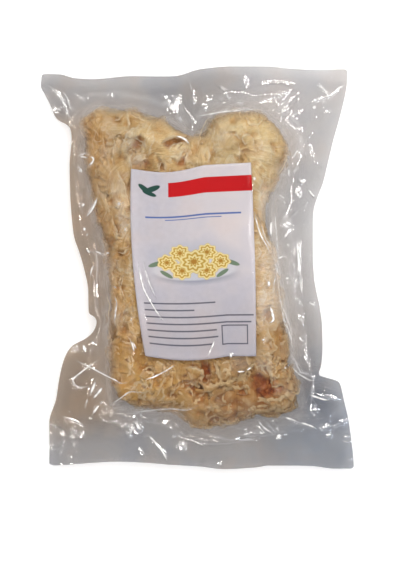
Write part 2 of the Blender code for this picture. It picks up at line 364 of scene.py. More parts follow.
# (photo pixel, height mm, radius mm): small pushed-out or dented spots
DIMPLES = [
    ((58.9, 109.5), 1.3, 5.0), ((112.4, 95.2), 0.9, 2.0), ((173, 107), 2.6, 6.5),
    ((194, 100), 0.7, 1.8), ((192, 130), -2.6, 5.0), ((204, 104), 1.0, 2.2),
    ((221, 98.8), 1.0, 3.0), ((240.8, 104), 1.5, 3.2),
    ((331.6, 96), 0.7, 1.8), ((324, 92), 0.7, 1.7), ((298.6, 192), 1.2, 2.6),
    ((286.6, 278.2), 0.8, 1.8), ((296.2, 281), 1.0, 2.2), ((301.5, 316.6), 0.9, 3.0),
    ((303, 338), 1.3, 3.4), ((284.7, 367), 0.8, 1.8), ((262.5, 339), 0.9, 1.9),
    ((93, 343.4), 1.1, 2.8), ((75.8, 348.8), 1.0, 3.0), ((74.7, 431.2), 0.8, 2.2),
    ((82.3, 433.4), 0.9, 2.0), ((182, 445.5), 1.9, 4.2), ((178, 425), 0.9, 2.0),
    ((172.7, 436), 0.8, 2.0), ((176, 433), -0.6, 2.0), ((203, 462), 1.0, 4.0),
    ((278.3, 436.7), 1.2, 2.2), ((272.5, 420), 0.9, 1.8), ((325, 426.8), 1.9, 4.0),
    ((329, 435), 0.9, 2.2), ((132, 320.6), 0.9, 1.8), ((137, 428), 1.5, 4.5),
    ((230.7, 355), 1.0, 1.8), ((118, 383), 0.9, 1.8), ((252, 187), 1.0, 1.8),
]


# painted highlights: white strips on the front film along creases where it shines: (photo pixels, width mm, how
# strongly each is painted white)
PAINTED_HIGHLIGHTS = [
    # left side
    ([(80, 156.6), (84, 157.4), (88.4, 158.5)], 0.8, 0.8), ([(90, 158), (94.2, 158.1), (94.4, 161), (93, 163.5), (89.2, 166.2)], 1.0, 1.0),
    ([(80.8, 168.1), (82.3, 173.5)], 0.9, 0.7), ([(98, 198.1), (94, 207.3), (90.5, 212.5), (86.5, 216.5)], 1.25, 1.0),
    ([(84.5, 203.3), (82.2, 206.7)], 1.1, 0.9), ([(80.5, 193.6), (80.6, 194.8)], 0.9, 0.6), ([(84.1, 227.4), (84.9, 230.9)], 1.2, 0.9),
    ([(88.8, 233.2), (85.9, 236)], 0.9, 0.5), ([(86.2, 248.7), (88, 251), (90.5, 252.7)], 0.9, 0.7),
    ([(94.5, 251.8), (98, 251.8), (102.6, 254.7)], 0.9, 0.8), ([(106, 253.3), (110, 253)], 0.8, 0.6),
    ([(94.7, 264.4), (91.4, 268.6), (91, 272), (90.4, 277)], 0.9, 0.75), ([(78.4, 170), (81.3, 172.3)], 0.8, 0.6),
    ([(114.1, 295.8), (116.6, 299.6), (117.5, 303), (116.1, 311.9), (115.1, 321.9)], 0.75, 0.7),
    ([(131.7, 318.6), (132.1, 320.4)], 1.2, 0.9), ([(131.5, 339.3), (133.5, 345.4), (134.9, 351.4)], 0.95, 0.95),
    ([(133.2, 341), (135, 344.5), (137.2, 348.6)], 0.7, 0.7), ([(83.1, 344.4), (84.6, 348), (85.6, 351.6)], 1.3, 0.9),
    ([(90.7, 341.3), (94.4, 341.6), (95.8, 343.6), (94.4, 346)], 0.8, 0.45), ([(113.5, 285.8), (117.5, 288.5)], 0.6, 0.5),
    ([(119.7, 202.6), (119.9, 207)], 1.6, 0.42), ([(126.4, 228), (125.6, 232.5)], 0.7, 0.4), ([(126.6, 228), (128.2, 232.2)], 0.7, 0.4),
    # lower left
    ([(75, 360), (90, 367.1), (106.1, 375.2), (116.4, 379.6), (121.5, 382.8), (128.4, 381.6)], 0.65, 0.85),
    ([(99, 359.5), (88, 367), (75.5, 376.5), (72.5, 380), (74, 384.5), (79, 387.5), (94, 386)], 0.65, 0.75),
    ([(109, 405.3), (119.3, 398.7), (128.4, 391.6), (131.8, 390.6), (138, 391), (145, 391.3)], 0.65, 0.65),
    ([(145, 378.4), (147.5, 378.2), (154.5, 375.9), (163.3, 371.5), (170, 367.6), (175, 364.2)], 0.8, 0.95),
    ([(95.9, 381), (93.6, 387), (90.6, 393.6)], 1.3, 1.0), ([(103.2, 386.6), (99.4, 391.5), (93, 398.9)], 1.2, 0.85),
    ([(98.8, 404.5), (96, 409.5), (92.6, 414)], 1.0, 0.75), ([(103, 401), (100.6, 403.6)], 0.9, 0.6),
    ([(88, 398), (86, 404), (85, 409)], 0.8, 0.5), ([(61, 415.5), (68, 418), (75, 421), (88, 428)], 0.7, 0.5),
    # bottom margin
    ([(145.7, 433.9), (149, 436), (153, 439.7), (161.9, 450), (165.4, 456.5), (168.4, 465)], 1.25, 0.9),
    ([(140, 445), (145, 457.4)], 0.8, 0.4), ([(135.2, 419.4), (137, 424), (141.2, 431)], 1.1, 0.9), ([(129, 428), (133, 429), (137, 428)], 1.0, 0.8),
    ([(129.6, 435.5), (131.6, 429.6), (135, 424)], 1.0, 0.75), ([(141.2, 412), (141.4, 417)], 0.8, 0.7), ([(131, 424), (136, 421), (140, 423)], 0.8, 0.6),
    ([(256.8, 417.6), (261, 424.7), (266, 429), (271.3, 432.8), (275.7, 434)], 0.85, 0.75), ([(278.2, 434.2), (278.7, 439.4)], 1.4, 0.95),
    ([(283.8, 416.6), (290, 418.6), (297, 421)], 0.85, 0.85), ([(299.9, 422.1), (309.5, 425.4), (316, 428)], 0.8, 0.9),
    ([(308.6, 394.3), (314, 396.2), (322, 399), (332, 401)], 0.95, 0.8), ([(219.8, 461), (220.8, 466), (221.2, 470)], 1.2, 0.7),
    ([(178.6, 442.6), (182.4, 446.6)], 1.8, 0.42), ([(272.6, 419.6), (272.9, 421.2)], 1.1, 0.8),
    ([(172, 435), (174.6, 438)], 0.8, 0.4), ([(343, 436.6), (352, 435.6)], 0.7, 0.5), ([(342, 441.5), (353, 441)], 0.6, 0.4),
    # the fold along the lower edge of the contents
    ([(126.7, 410.4), (141.3, 411), (156, 409.4), (172, 408.2), (185.3, 409.7), (192.7, 407.5), (199, 403.6)], 0.9, 0.42),
    # over the label
    ([(139, 262), (139.8, 270), (141.6, 279), (144.6, 289.8), (149.6, 299), (156, 310), (164, 321)], 0.85, 0.9),
    ([(144.4, 262), (146.6, 274), (151, 286), (157, 299)], 0.7, 0.6),
    ([(214.7, 338.5), (212.6, 345), (209.8, 351), (207.1, 356.6)], 0.75, 0.9), ([(230.2, 351.6), (230.8, 357)], 1.3, 0.95),
    ([(253.7, 177.6), (253.9, 181.6)], 2.0, 0.6),
    # on the contents, right
    ([(254.1, 212.2), (255.9, 221.3), (258, 229), (260.7, 236.5), (266.8, 246.8), (269.8, 254.6)], 0.8, 0.85),
    ([(260.1, 223.1), (265, 238.9), (269.2, 245.6), (271, 252.8)], 0.75, 0.45), ([(270.9, 221.6), (270.4, 230), (270.9, 237)], 1.25, 0.85),
    ([(274.7, 207.4), (275.3, 222.5), (276.5, 237.7), (277.4, 249.8), (277.4, 257)], 0.8, 0.42),
    ([(278.3, 223.4), (287.4, 223.8), (294.7, 225.6)], 0.7, 0.45), ([(283.8, 238.3), (287.4, 233.4), (292.2, 229.8)], 1.0, 0.75),
    ([(276.2, 258.4), (279.5, 258.3), (283.4, 255.7)], 0.8, 0.95), ([(296.5, 245), (297.7, 251), (298.8, 260), (298.9, 266), (298, 273.2)], 0.95, 1.0),
    ([(298.4, 273.1), (300.1, 279.5), (301.2, 289.3), (302.6, 295.6)], 0.6, 0.65), ([(285.2, 278.4), (289.3, 278)], 0.9, 0.85),
    ([(295.5, 280.4), (296.3, 282)], 1.1, 0.85), ([(308.4, 302.2), (315.4, 305.6)], 1.1, 0.9), ([(268.1, 280.6), (268.7, 287)], 1.1, 0.9),
    ([(277.2, 256), (277, 271), (273.8, 281.6), (272.6, 297)], 0.8, 0.40), ([(278, 289.3), (281.5, 306), (283, 318.7), (287.9, 329.2), (291.4, 341.2), (291.6, 352)], 1.2, 0.35),
    ([(269.3, 305.4), (271.7, 312), (273.3, 319.4), (271.4, 321.6), (267.8, 322.8)], 1.0, 1.0), ([(262.2, 338.4), (263, 339.8)], 1.2, 0.95),
    ([(299.8, 335.6), (299.6, 338.6), (302, 341.2), (305.4, 340.4)], 0.9, 0.7), ([(303.6, 336.6), (306.6, 338.4)], 0.8, 0.55),
    ([(301, 316), (303.2, 318.4)], 0.9, 0.5), ([(236.8, 370.5), (240.5, 370.8), (244.4, 370.4)], 0.75, 1.0), ([(246, 369.5), (250.6, 366.5)], 0.75, 0.9),
    ([(284.1, 366.6), (284.9, 367.8)], 0.9, 0.8), ([(291.1, 366), (297.7, 373.3), (308, 379.4), (316, 382)], 1.1, 0.42),
    ([(298, 400.2), (299, 400.8)], 0.7, 0.5), ([(305.2, 401.6), (306.4, 402.2)], 0.7, 0.5),
    # right margin
    ([(301.2, 182.8), (303.4, 182), (305.8, 179.3)], 1.4, 0.9), ([(298.4, 191.2), (298.8, 193.6)], 1.1, 0.8), ([(288.7, 167.6), (288.4, 178)], 1.1, 0.5),
    ([(277.7, 194.7), (281, 196.4), (285, 199.4)], 1.0, 0.42), ([(282.4, 201), (286, 204)], 0.9, 0.42), ([(298, 148.8), (295.4, 153.6), (293, 159.4)], 0.8, 0.5),
    ([(307.6, 188.6), (312, 194.6), (316, 200)], 0.9, 0.6), ([(307, 140), (311, 149), (313.4, 160)], 0.6, 0.5),
    # top
    ([(318.9, 84.5), (323, 88), (327, 92.1)], 0.45, 0.5), ([(327.5, 96), (327, 101.8)], 0.45, 0.5), ([(311, 104), (320, 101.5), (326, 98)], 0.4, 0.5),
    ([(329, 97.5), (331.1, 96.2), (334, 93.5)], 0.6, 0.75), ([(336.7, 88.6), (341, 87), (345, 86.2)], 0.8, 0.8), ([(320, 89.6), (325, 92), (330, 92.5)], 0.5, 0.5), ([(312.8, 106.6), (315.2, 108.4)], 1.4, 0.75),
    ([(52, 87), (57, 93), (62, 100), (66, 107), (69.5, 118)], 0.6, 0.60), ([(62, 90), (68, 99), (71, 112)], 0.45, 0.40),
    ([(112.2, 92.6), (112.4, 97.6)], 0.95, 0.8), ([(88.2, 96), (88, 100.4)], 0.8, 0.45), ([(56.5, 108.6), (61.5, 110.2)], 1.8, 0.55),
    ([(190, 116.9), (199, 116), (207.5, 114.8), (221.6, 112.5), (239, 111.3), (251.8, 110)], 0.8, 0.55),
    ([(284.2, 106.4), (281.4, 113.4), (280.6, 124)], 0.65, 0.8), ([(289.6, 116.9), (294, 115.2), (299, 113.6)], 0.8, 0.6),
    ([(291, 124), (293.4, 127.6), (296.9, 129.2), (301, 127)], 0.8, 0.8), ([(283.3, 121.8), (282.6, 128.9)], 0.7, 0.5),
    ([(192, 129), (192.6, 130.6)], 1.0, 0.85), ([(175.6, 137.1), (179.6, 137.6), (183.3, 139), (186.6, 141.4), (189.6, 145.4)], 0.95, 0.95),
    ([(178.4, 98.5), (175.6, 105), (172.6, 112.6)], 3.2, 0.85), ([(174.6, 103), (170, 110.6)], 3.0, 0.55),
]


def painted_highlight_strips():
    """Painted highlights as narrow white strips on the front film, along the listed lines and the upper margin's
    taller, narrower creases: their points, quads and how strongly each point is painted white.
    """
    spots, faces, painted_highlight, lifts, count = [], [], [], [], 0
    listed = PAINTED_HIGHLIGHTS + [
        (line, 0.55, 0.38) for line, height, width in CREASES
        if height >= 0.8 and width < 1.5 and (np.mean([p[1] for p in line]) < 104)
    ]
    for k, (photo_line, width, strength) in enumerate(listed):
        line = np.array([photo(*p) for p in photo_line])
        at = np.concatenate([[0], np.cumsum(np.sqrt((np.diff(line, axis=0) ** 2).sum(1)))])
        n = max(5, round(at[-1] / 0.8))
        t = np.linspace(0, at[-1], n + 1)
        curve = np.stack([np.interp(t, at, line[:, 0]), np.interp(t, at, line[:, 1])], -1)
        for _ in range(5 if len(line) > 2 else 0):
            curve[1:-1] = (curve[:-2] + 2 * curve[1:-1] + curve[2:]) / 4
        inside = np.flatnonzero(pouch_distance(curve[:, 0], curve[:, 1]) > width + 0.6)
        if len(inside) < 4:
            continue
        curve, t = curve[inside[0] : inside[-1] + 1], t[inside[0] : inside[-1] + 1]
        n = len(curve) - 1
        ahead = np.gradient(curve, axis=0)
        ahead = ahead / np.maximum(np.hypot(*ahead.T), 1e-6)[:, None]
        s = (t - t[0]) / (t[-1] - t[0])
        ends = smoothstep(0, 0.3, s) * smoothstep(1, 0.7, s)
        wide = width * (0.45 + 0.55 * ends) * np.clip(1 + 0.6 * noise(t / 3.2, k * 7.3, 0.2, 321), 0.5, 1.5)
        level = strength * (0.25 + 0.75 * ends) * np.clip(0.9 + 0.8 * noise(t / 4.5, k * 3.1, 0.7, 322), 0.25, 1.15)
        level[[0, -1]] = 0
        rows = []
        for off, share, lift in ((-1.0, 0.0, 0.10), (-0.35, 0.85, 0.28), (0.35, 0.85, 0.28), (1.0, 0.0, 0.10)):
            rows.append(np.stack([curve[:, 0] - ahead[:, 1] * off * wide, curve[:, 1] + ahead[:, 0] * off * wide], -1))
            painted_highlight.append(np.clip(level * share * 1.15, 0, 1))
            lifts.append(np.full(n + 1, lift))
        spots.append(np.concatenate(rows))
        faces.append(grid_faces(n, 3, count))
        count += 4 * (n + 1)
    spots = np.concatenate(spots)
    z = front_surface(spots[:, 0], spots[:, 1]) + np.concatenate(lifts)
    return np.column_stack([spots, z]), np.concatenate(faces), np.concatenate(painted_highlight)


def crease_height(x, y, photo_line, height, width):
    """A fold's height: a rounded ridge along a polyline, dying out at its ends."""
    line = np.array([photo(*p) for p in photo_line])
    lo, hi = line.min(0) - 5 * abs(width), line.max(0) + 5 * abs(width)
    near = (x > lo[0]) & (x < hi[0]) & (y > lo[1]) & (y < hi[1])
    if not near.any():
        return near, 0.0
    px, py = x[near], y[near]
    steps = np.sqrt(((line[1:] - line[:-1]) ** 2).sum(1))
    total, done = steps.sum(), 0.0
    best = np.full(px.shape, 1e9)
    at = np.zeros(px.shape)
    for (ax, ay), (bx, by), size in zip(line[:-1], line[1:], steps):
        ex, ey = bx - ax, by - ay
        t = np.clip(((px - ax) * ex + (py - ay) * ey) / (size * size), 0, 1)
        d = np.hypot(ax + t * ex - px, ay + t * ey - py)
        take = d < best
        best = np.where(take, d, best)
        at = np.where(take, (done + t * size) / total, at)
        done += size
    ends = smoothstep(0, 0.35, at) * smoothstep(1, 0.65, at)
    thin = 0.80 * width * (0.55 + 0.45 * ends)
    r = best / thin
    return near, 0.8 * height * (0.12 + 0.88 * ends) * np.exp(-np.sqrt(r * r + 0.10) + 0.316) * smoothstep(5, 3, r)


def hand_folds(x, y):
    out = np.zeros_like(x)
    for line, height, width in CREASES:
        near, h = crease_height(x, y, line, height, width)
        out[near] += h
    for at, height, radius in DIMPLES:
        cx, cy = photo(*at)
        r2 = ((x - cx) ** 2 + (y - cy) ** 2) / radius**2
        out += height * np.exp(-r2 * 1.3)
    return out


def raised(x, y, g):
    """The listed folds as they stand on the front film: lower where it is drawn tight over the contents."""
    return hand_folds(x, y) * (1 - 0.6 * smoothstep(0.7, 1.0, g))


def near_creases(x, y):
    """1 on the listed folds, where the film stands off what is under it."""
    out = np.zeros_like(x)
    for line, height, width in CREASES:
        near, h = crease_height(x, y, line, 1.0, width * 1.6)
        out[near] = np.maximum(out[near], np.clip(h * 1.3, 0, 1))
    for at, height, radius in DIMPLES:
        cx, cy = photo(*at)
        out = np.maximum(out, np.exp(-((x - cx) ** 2 + (y - cy) ** 2) / radius**2))
    return out


def crease_glint(x, y):
    """Where a fold's crest is sharp enough to shine along its whole length."""
    out = np.zeros_like(x)
    for lines, least in ((CREASES, 0.0), (RANDOM, 0.45)):
        for line, height, width in lines:
            if height <= least:
                continue
            near, h = crease_height(x, y, line, 1.25, 0.62 * min(width, 1.5))
            out[near] = np.maximum(out[near], h * min(height / 1.2, 1.0) * (1.0 if least == 0 else 0.6))
    for at, height, radius in DIMPLES:
        if height > 0:
            cx, cy = photo(*at)
            out = np.maximum(out, 0.7 * min(height, 1.0) * np.exp(-2.5 * ((x - cx) ** 2 + (y - cy) ** 2) / radius**2))
    return np.clip(out, 0, 1)


def random_creases(count, seed, size, height):
    """Short straight crinkles scattered over the pouch, running out from its middle more than round it."""
    rng = np.random.default_rng(seed)
    made = []
    for _ in range(count):
        x, y = rng.uniform(42, 352), rng.uniform(68, 468)
        away = math.atan2(y - 268, x - 197)
        angle = away + rng.normal(0, 0.75)
        half = rng.uniform(*size) / 2
        dx, dy = half * math.cos(angle), half * math.sin(angle)
        bend = rng.normal(0, 0.18) * half
        made.append((
            [(x - dx, y - dy), (x - bend * math.sin(angle), y + bend * math.cos(angle)), (x + dx, y + dy)],
            rng.uniform(*height) * rng.choice([-1, 1]),
            rng.uniform(0.7, 1.6),
        ))
    return made


RANDOM = random_creases(260, 5, (6, 26), (0.2, 0.75))


def scattered_folds(x, y):
    out = np.zeros_like(x)
    for line, height, width in RANDOM:
        near, h = crease_height(x, y, line, height, width)
        out[near] += h
    return out


def label_cover(x, y):
    """1 over the label, where the paper keeps the film smooth."""
    return smoothstep(-1.0, 5.0, outline_distance(x, y, LABEL_CORNERS))


def swell(x, y):
    """How far the webs part, 0 at the seal and 1 over the contents: slack films that ease round the edge."""
    d = look_up(DIST, x, y)
    loose = smoothstep(8, -6, d)
    d = d + loose * (2.4 * noise(x / 21, y / 21, 0.1, 211) + 1.2 * noise(x / 9, y / 9, 0.1, 212))
    reach = FILM_REACH + 7.0 + 5.0 * noise(x / 46, y / 46, 0.1, 213)
    s = np.clip((d + reach) / (SHOULDER_RADIUS + reach), 0, 1)
    return (0.75 * s * s * (3 - 2 * s) + 0.25 * (1 - (1 - s) ** 2) * s) * smoothstep(1.5, 12, pouch_distance(x, y))


def seam_height(x, y):
    wave = 2.6 * np.sin(x / 31 + 0.6) * np.cos(y / 37 - 0.4)
    droop = 3.5 * (np.abs(x) / 128) ** 2 * (np.abs(y) / 165) ** 2
    slow = 1.6 * noise(x / 38, y / 38, 0.3, 41) + 0.7 * noise(x / 17, y / 17, 0.6, 42)
    return SEAM_HEIGHT + wave - droop + slow


def tent(x, y, size, seed):
    """Film pulled between high points: sharp ridges between shallow hollows."""
    wx = x + 0.25 * size * noise(x / size / 1.7, y / size / 1.7, 0.2, seed + 9)
    wy = y + 0.25 * size * noise(x / size / 1.7, y / size / 1.7, 7.2, seed + 9)
    n = noise(wx / size, wy / size, 0.5, seed)
    return 1 - 2.2 * np.sqrt(n * n + 0.004)


def front_surface(x, y):
    """The front film's height."""
    g = swell(x, y)
    cover = label_cover(x, y)
    end = 3.0 * np.maximum(np.abs(y) / 130 - 0.55, 0) ** 2
    top = PACK_HEIGHT - 1.0 - 4 * end
    top = top + (1.7 * noise(x / 44, y / 44, 2.7, 51) + 1.1 * noise(x / 21, y / 21, 1.2, 52)) * (1 - 0.6 * cover)
    crumple = 0.75 * tent(x, y, 17, 61) + 0.32 * tent(x, y, 8.5, 62) + 0.12 * tent(x, y, 4.5, 63)
    top = top + crumple * (1 - 0.82 * cover)
    low = seam_height(x, y) + 0.35
    z = (1 - g) * low + g * top
    z = z + look_up(GATHERS, x, y) * (1 - cover)
    still = 1 - 0.6 * quiet(x, y)
    return z + raised(x, y, g) + still * (scattered_folds(x, y) * (0.75 - 0.25 * g) * (1 - 0.8 * cover) + margin_crinkle(x, y, g, 71))


def quiet(x, y):
    """Where the loose film is smoother: down the left side, in the left corner and along the lower end."""
    left = smoothstep(-72, -84, x) * smoothstep(-62, -40, y)
    foot = smoothstep(-136, -144, y) * smoothstep(-70, -50, x) * smoothstep(110, 90, x)
    head = 0.8 * smoothstep(-22, -40, x) * smoothstep(120, 130, y)
    return np.maximum(np.maximum(left, foot), head)


def margin_crinkle(x, y, g, seed):
    """The small crinkles of the two loose webs between the contents and the seal."""
    free = (1 - g) * smoothstep(0, 10, pouch_distance(x, y) - 7)
    return free * (0.35 * tent(x, y, 11, seed) + 0.16 * tent(x, y, 5.5, seed + 1))


def back_surface(x, y):
    g = swell(x, y)
    low = seam_height(x, y) - 0.25
    z = (1 - g) * low
    z = z + (1 - g) * (hand_folds(x, y) + 0.6 * scattered_folds(x, y) + 0.8 * look_up(GATHERS, x, y)) - 0.15
    z = z - 1.0 * margin_crinkle(x, y, g, 81) * smoothstep(0, 1, 1 - g)
    z = z + 0.25 * g * (1 + tent(x, y, 12, 91)) * smoothstep(0.2, 0.9, g) * 0.4
    return np.maximum(z, 0.02)


# ---- the pouch's plan -------------------------------------------------------
EDGES = {
    "top": np.array(TOP_EDGE), "bottom": np.array(BOTTOM_EDGE),
    "left": np.array(LEFT_EDGE), "right": np.array(RIGHT_EDGE),
}
POUCH_OUTLINE = (
    list(map(tuple, EDGES["top"])) + list(map(tuple, EDGES["right"][::-1][1:]))
    + list(map(tuple, EDGES["bottom"][::-1][1:])) + list(map(tuple, EDGES["left"][1:-1]))
)
POUCH_DIST = outline_distance(GX, GY, POUCH_OUTLINE)


def pouch_distance(x, y):
    return look_up(POUCH_DIST, x, y)


def rounded(points, axis):
    """The edge's points, eased between with a smooth curve that doesn't overshoot."""
    run, other = points[:, axis], points[:, 1 - axis]
    sign = 1 if run[-1] > run[0] else -1
    run, other = run[::sign], other[::sign]
    run = np.maximum.accumulate(run + np.arange(len(run)) * 1e-6)
    h = np.diff(run)
    slope = np.diff(other) / h
    m = np.zeros(len(run))
    same = slope[:-1] * slope[1:] > 0
    m[1:-1] = np.where(same, 2 * slope[:-1] * slope[1:] / np.where(same, slope[:-1] + slope[1:], 1), 0)
    m[0], m[-1] = slope[0], slope[-1]
    return run, other, m


def eased(curve, at):
    run, other, m = curve
    i = np.clip(np.searchsorted(run, at) - 1, 0, len(run) - 2)
    h = run[i + 1] - run[i]
    t = np.clip((at - run[i]) / h, 0, 1)
    return (
        (1 + 2 * t) * (1 - t) ** 2 * other[i] + t * (1 - t) ** 2 * h * m[i]
        + t * t * (3 - 2 * t) * other[i + 1] + t * t * (t - 1) * h * m[i + 1]
    )


CURVES = {k: rounded(v, 0 if k in ("top", "bottom") else 1) for k, v in EDGES.items()}


def along(side, t):
    axis = 0 if side in ("top", "bottom") else 1
    run = EDGES[side][:, axis]
    at = run[0] + (run[-1] - run[0]) * t
    other = eased(CURVES[side], at)
    return (at, other) if axis == 0 else (other, at)


def pouch_plan(u, v):
    bl, br = EDGES["bottom"][0], EDGES["bottom"][-1]
    tl, tr = EDGES["top"][0], EDGES["top"][-1]
    left, right, bottom, top = along("left", v), along("right", v), along("bottom", u), along("top", u)
    out = []
    for k in (0, 1):
        at = (1 - u) * (1 - v) * bl[k] + u * (1 - v) * br[k] + (1 - u) * v * tl[k] + u * v * tr[k]
        at = at + (left[k] - (1 - v) * bl[k] - v * tl[k]) * (1 - u) ** EDGE_FADE
        at = at + (right[k] - (1 - v) * br[k] - v * tr[k]) * u**EDGE_FADE
        at = at + (bottom[k] - (1 - u) * bl[k] - u * br[k]) * (1 - v) ** EDGE_FADE
        at = at + (top[k] - (1 - u) * tl[k] - u * tr[k]) * v**EDGE_FADE
        out.append(at)
    return out


# ---- making meshes -------------------------------------------------------------
def grid_faces(columns, rows, start=0):
    """Quads of a grid of points, columns by rows of faces, row by row."""
    i, j = np.meshgrid(np.arange(columns), np.arange(rows))
    a = start + j * (columns + 1) + i
    return np.stack([a, a + 1, a + columns + 2, a + columns + 1], axis=-1).reshape(-1, 4)


def mesh_object(name, points, quads, uv=None, attributes=None, material=None, flip=False):
    """A smooth mesh from points in millimetres and quads."""
    quads = np.asarray(quads)
    if flip:
        quads = quads[:, ::-1]
    mesh = bpy.data.meshes.new(name)
    mesh.vertices.add(len(points))
    mesh.vertices.foreach_set("co", (np.asarray(points, float) * MM).astype(np.float32).ravel())
    mesh.loops.add(len(quads) * 4)
    mesh.loops.foreach_set("vertex_index", quads.ravel().astype(np.int32))
    mesh.polygons.add(len(quads))
    mesh.polygons.foreach_set("loop_start", (np.arange(len(quads)) * 4).astype(np.int32))
    mesh.update(calc_edges=True)
    if uv is not None:
        layer = mesh.uv_layers.new(name="UVMap")
        layer.data.foreach_set("uv", np.asarray(uv, float)[quads.ravel()].astype(np.float32).ravel())
    for key, values in (attributes or {}).items():
        made = mesh.attributes.new(key, "FLOAT", "POINT")
        made.data.foreach_set("value", np.asarray(values, np.float32))
    mesh.validate()
    mesh.shade_smooth()
    obj = bpy.data.objects.new(name, mesh)
    bpy.context.scene.collection.objects.link(obj)
    if material:
        mesh.materials.append(material)
    return obj


# ---- materials ------------------------------------------------------------------
def new_material(name):
    mat = bpy.data.materials.new(name)
    mat.use_nodes = True
    mat.node_tree.nodes.clear()
    return mat, mat.node_tree.nodes, mat.node_tree.links


def node(nodes, kind, **values):
    made = nodes.new(kind)
    for key, value in values.items():
        if key.startswith("in_"):
            made.inputs[key[3:].replace("_", " ")].default_value = value
        else:
            setattr(made, key, value)
    return made


def mix_color(nodes, links, factor, a, b, blend="MIX"):
    made = nodes.new("ShaderNodeMix")
    made.data_type = "RGBA"
    made.blend_type = blend
    for socket, value in ((made.inputs[0], factor), (made.inputs[6], a), (made.inputs[7], b)):
        if hasattr(value, "is_output"):
            links.new(value, socket)
        elif isinstance(value, (tuple, list)):
            socket.default_value = (*value, 1.0)[:4]
        else:
            socket.default_value = value
    return made.outputs[2]


def math_node(nodes, links, operation, *values, clamp=False):
    made = nodes.new("ShaderNodeMath")
    made.operation = operation
    made.use_clamp = clamp
    for socket, value in zip(made.inputs, values):
        if hasattr(value, "is_output"):
            links.new(value, socket)
        else:
            socket.default_value = value
    return made.outputs[0]


def ramp(nodes, links, factor, stops, interpolation="EASE"):
    made = nodes.new("ShaderNodeValToRGB")
    made.color_ramp.interpolation = interpolation
    elements = made.color_ramp.elements
    while len(elements) < len(stops):
        elements.new(0.5)
    for element, (at, color) in zip(elements, stops):
        element.position = at
        element.color = (*color, 1.0)
    links.new(factor, made.inputs[0])
    return made.outputs[0]


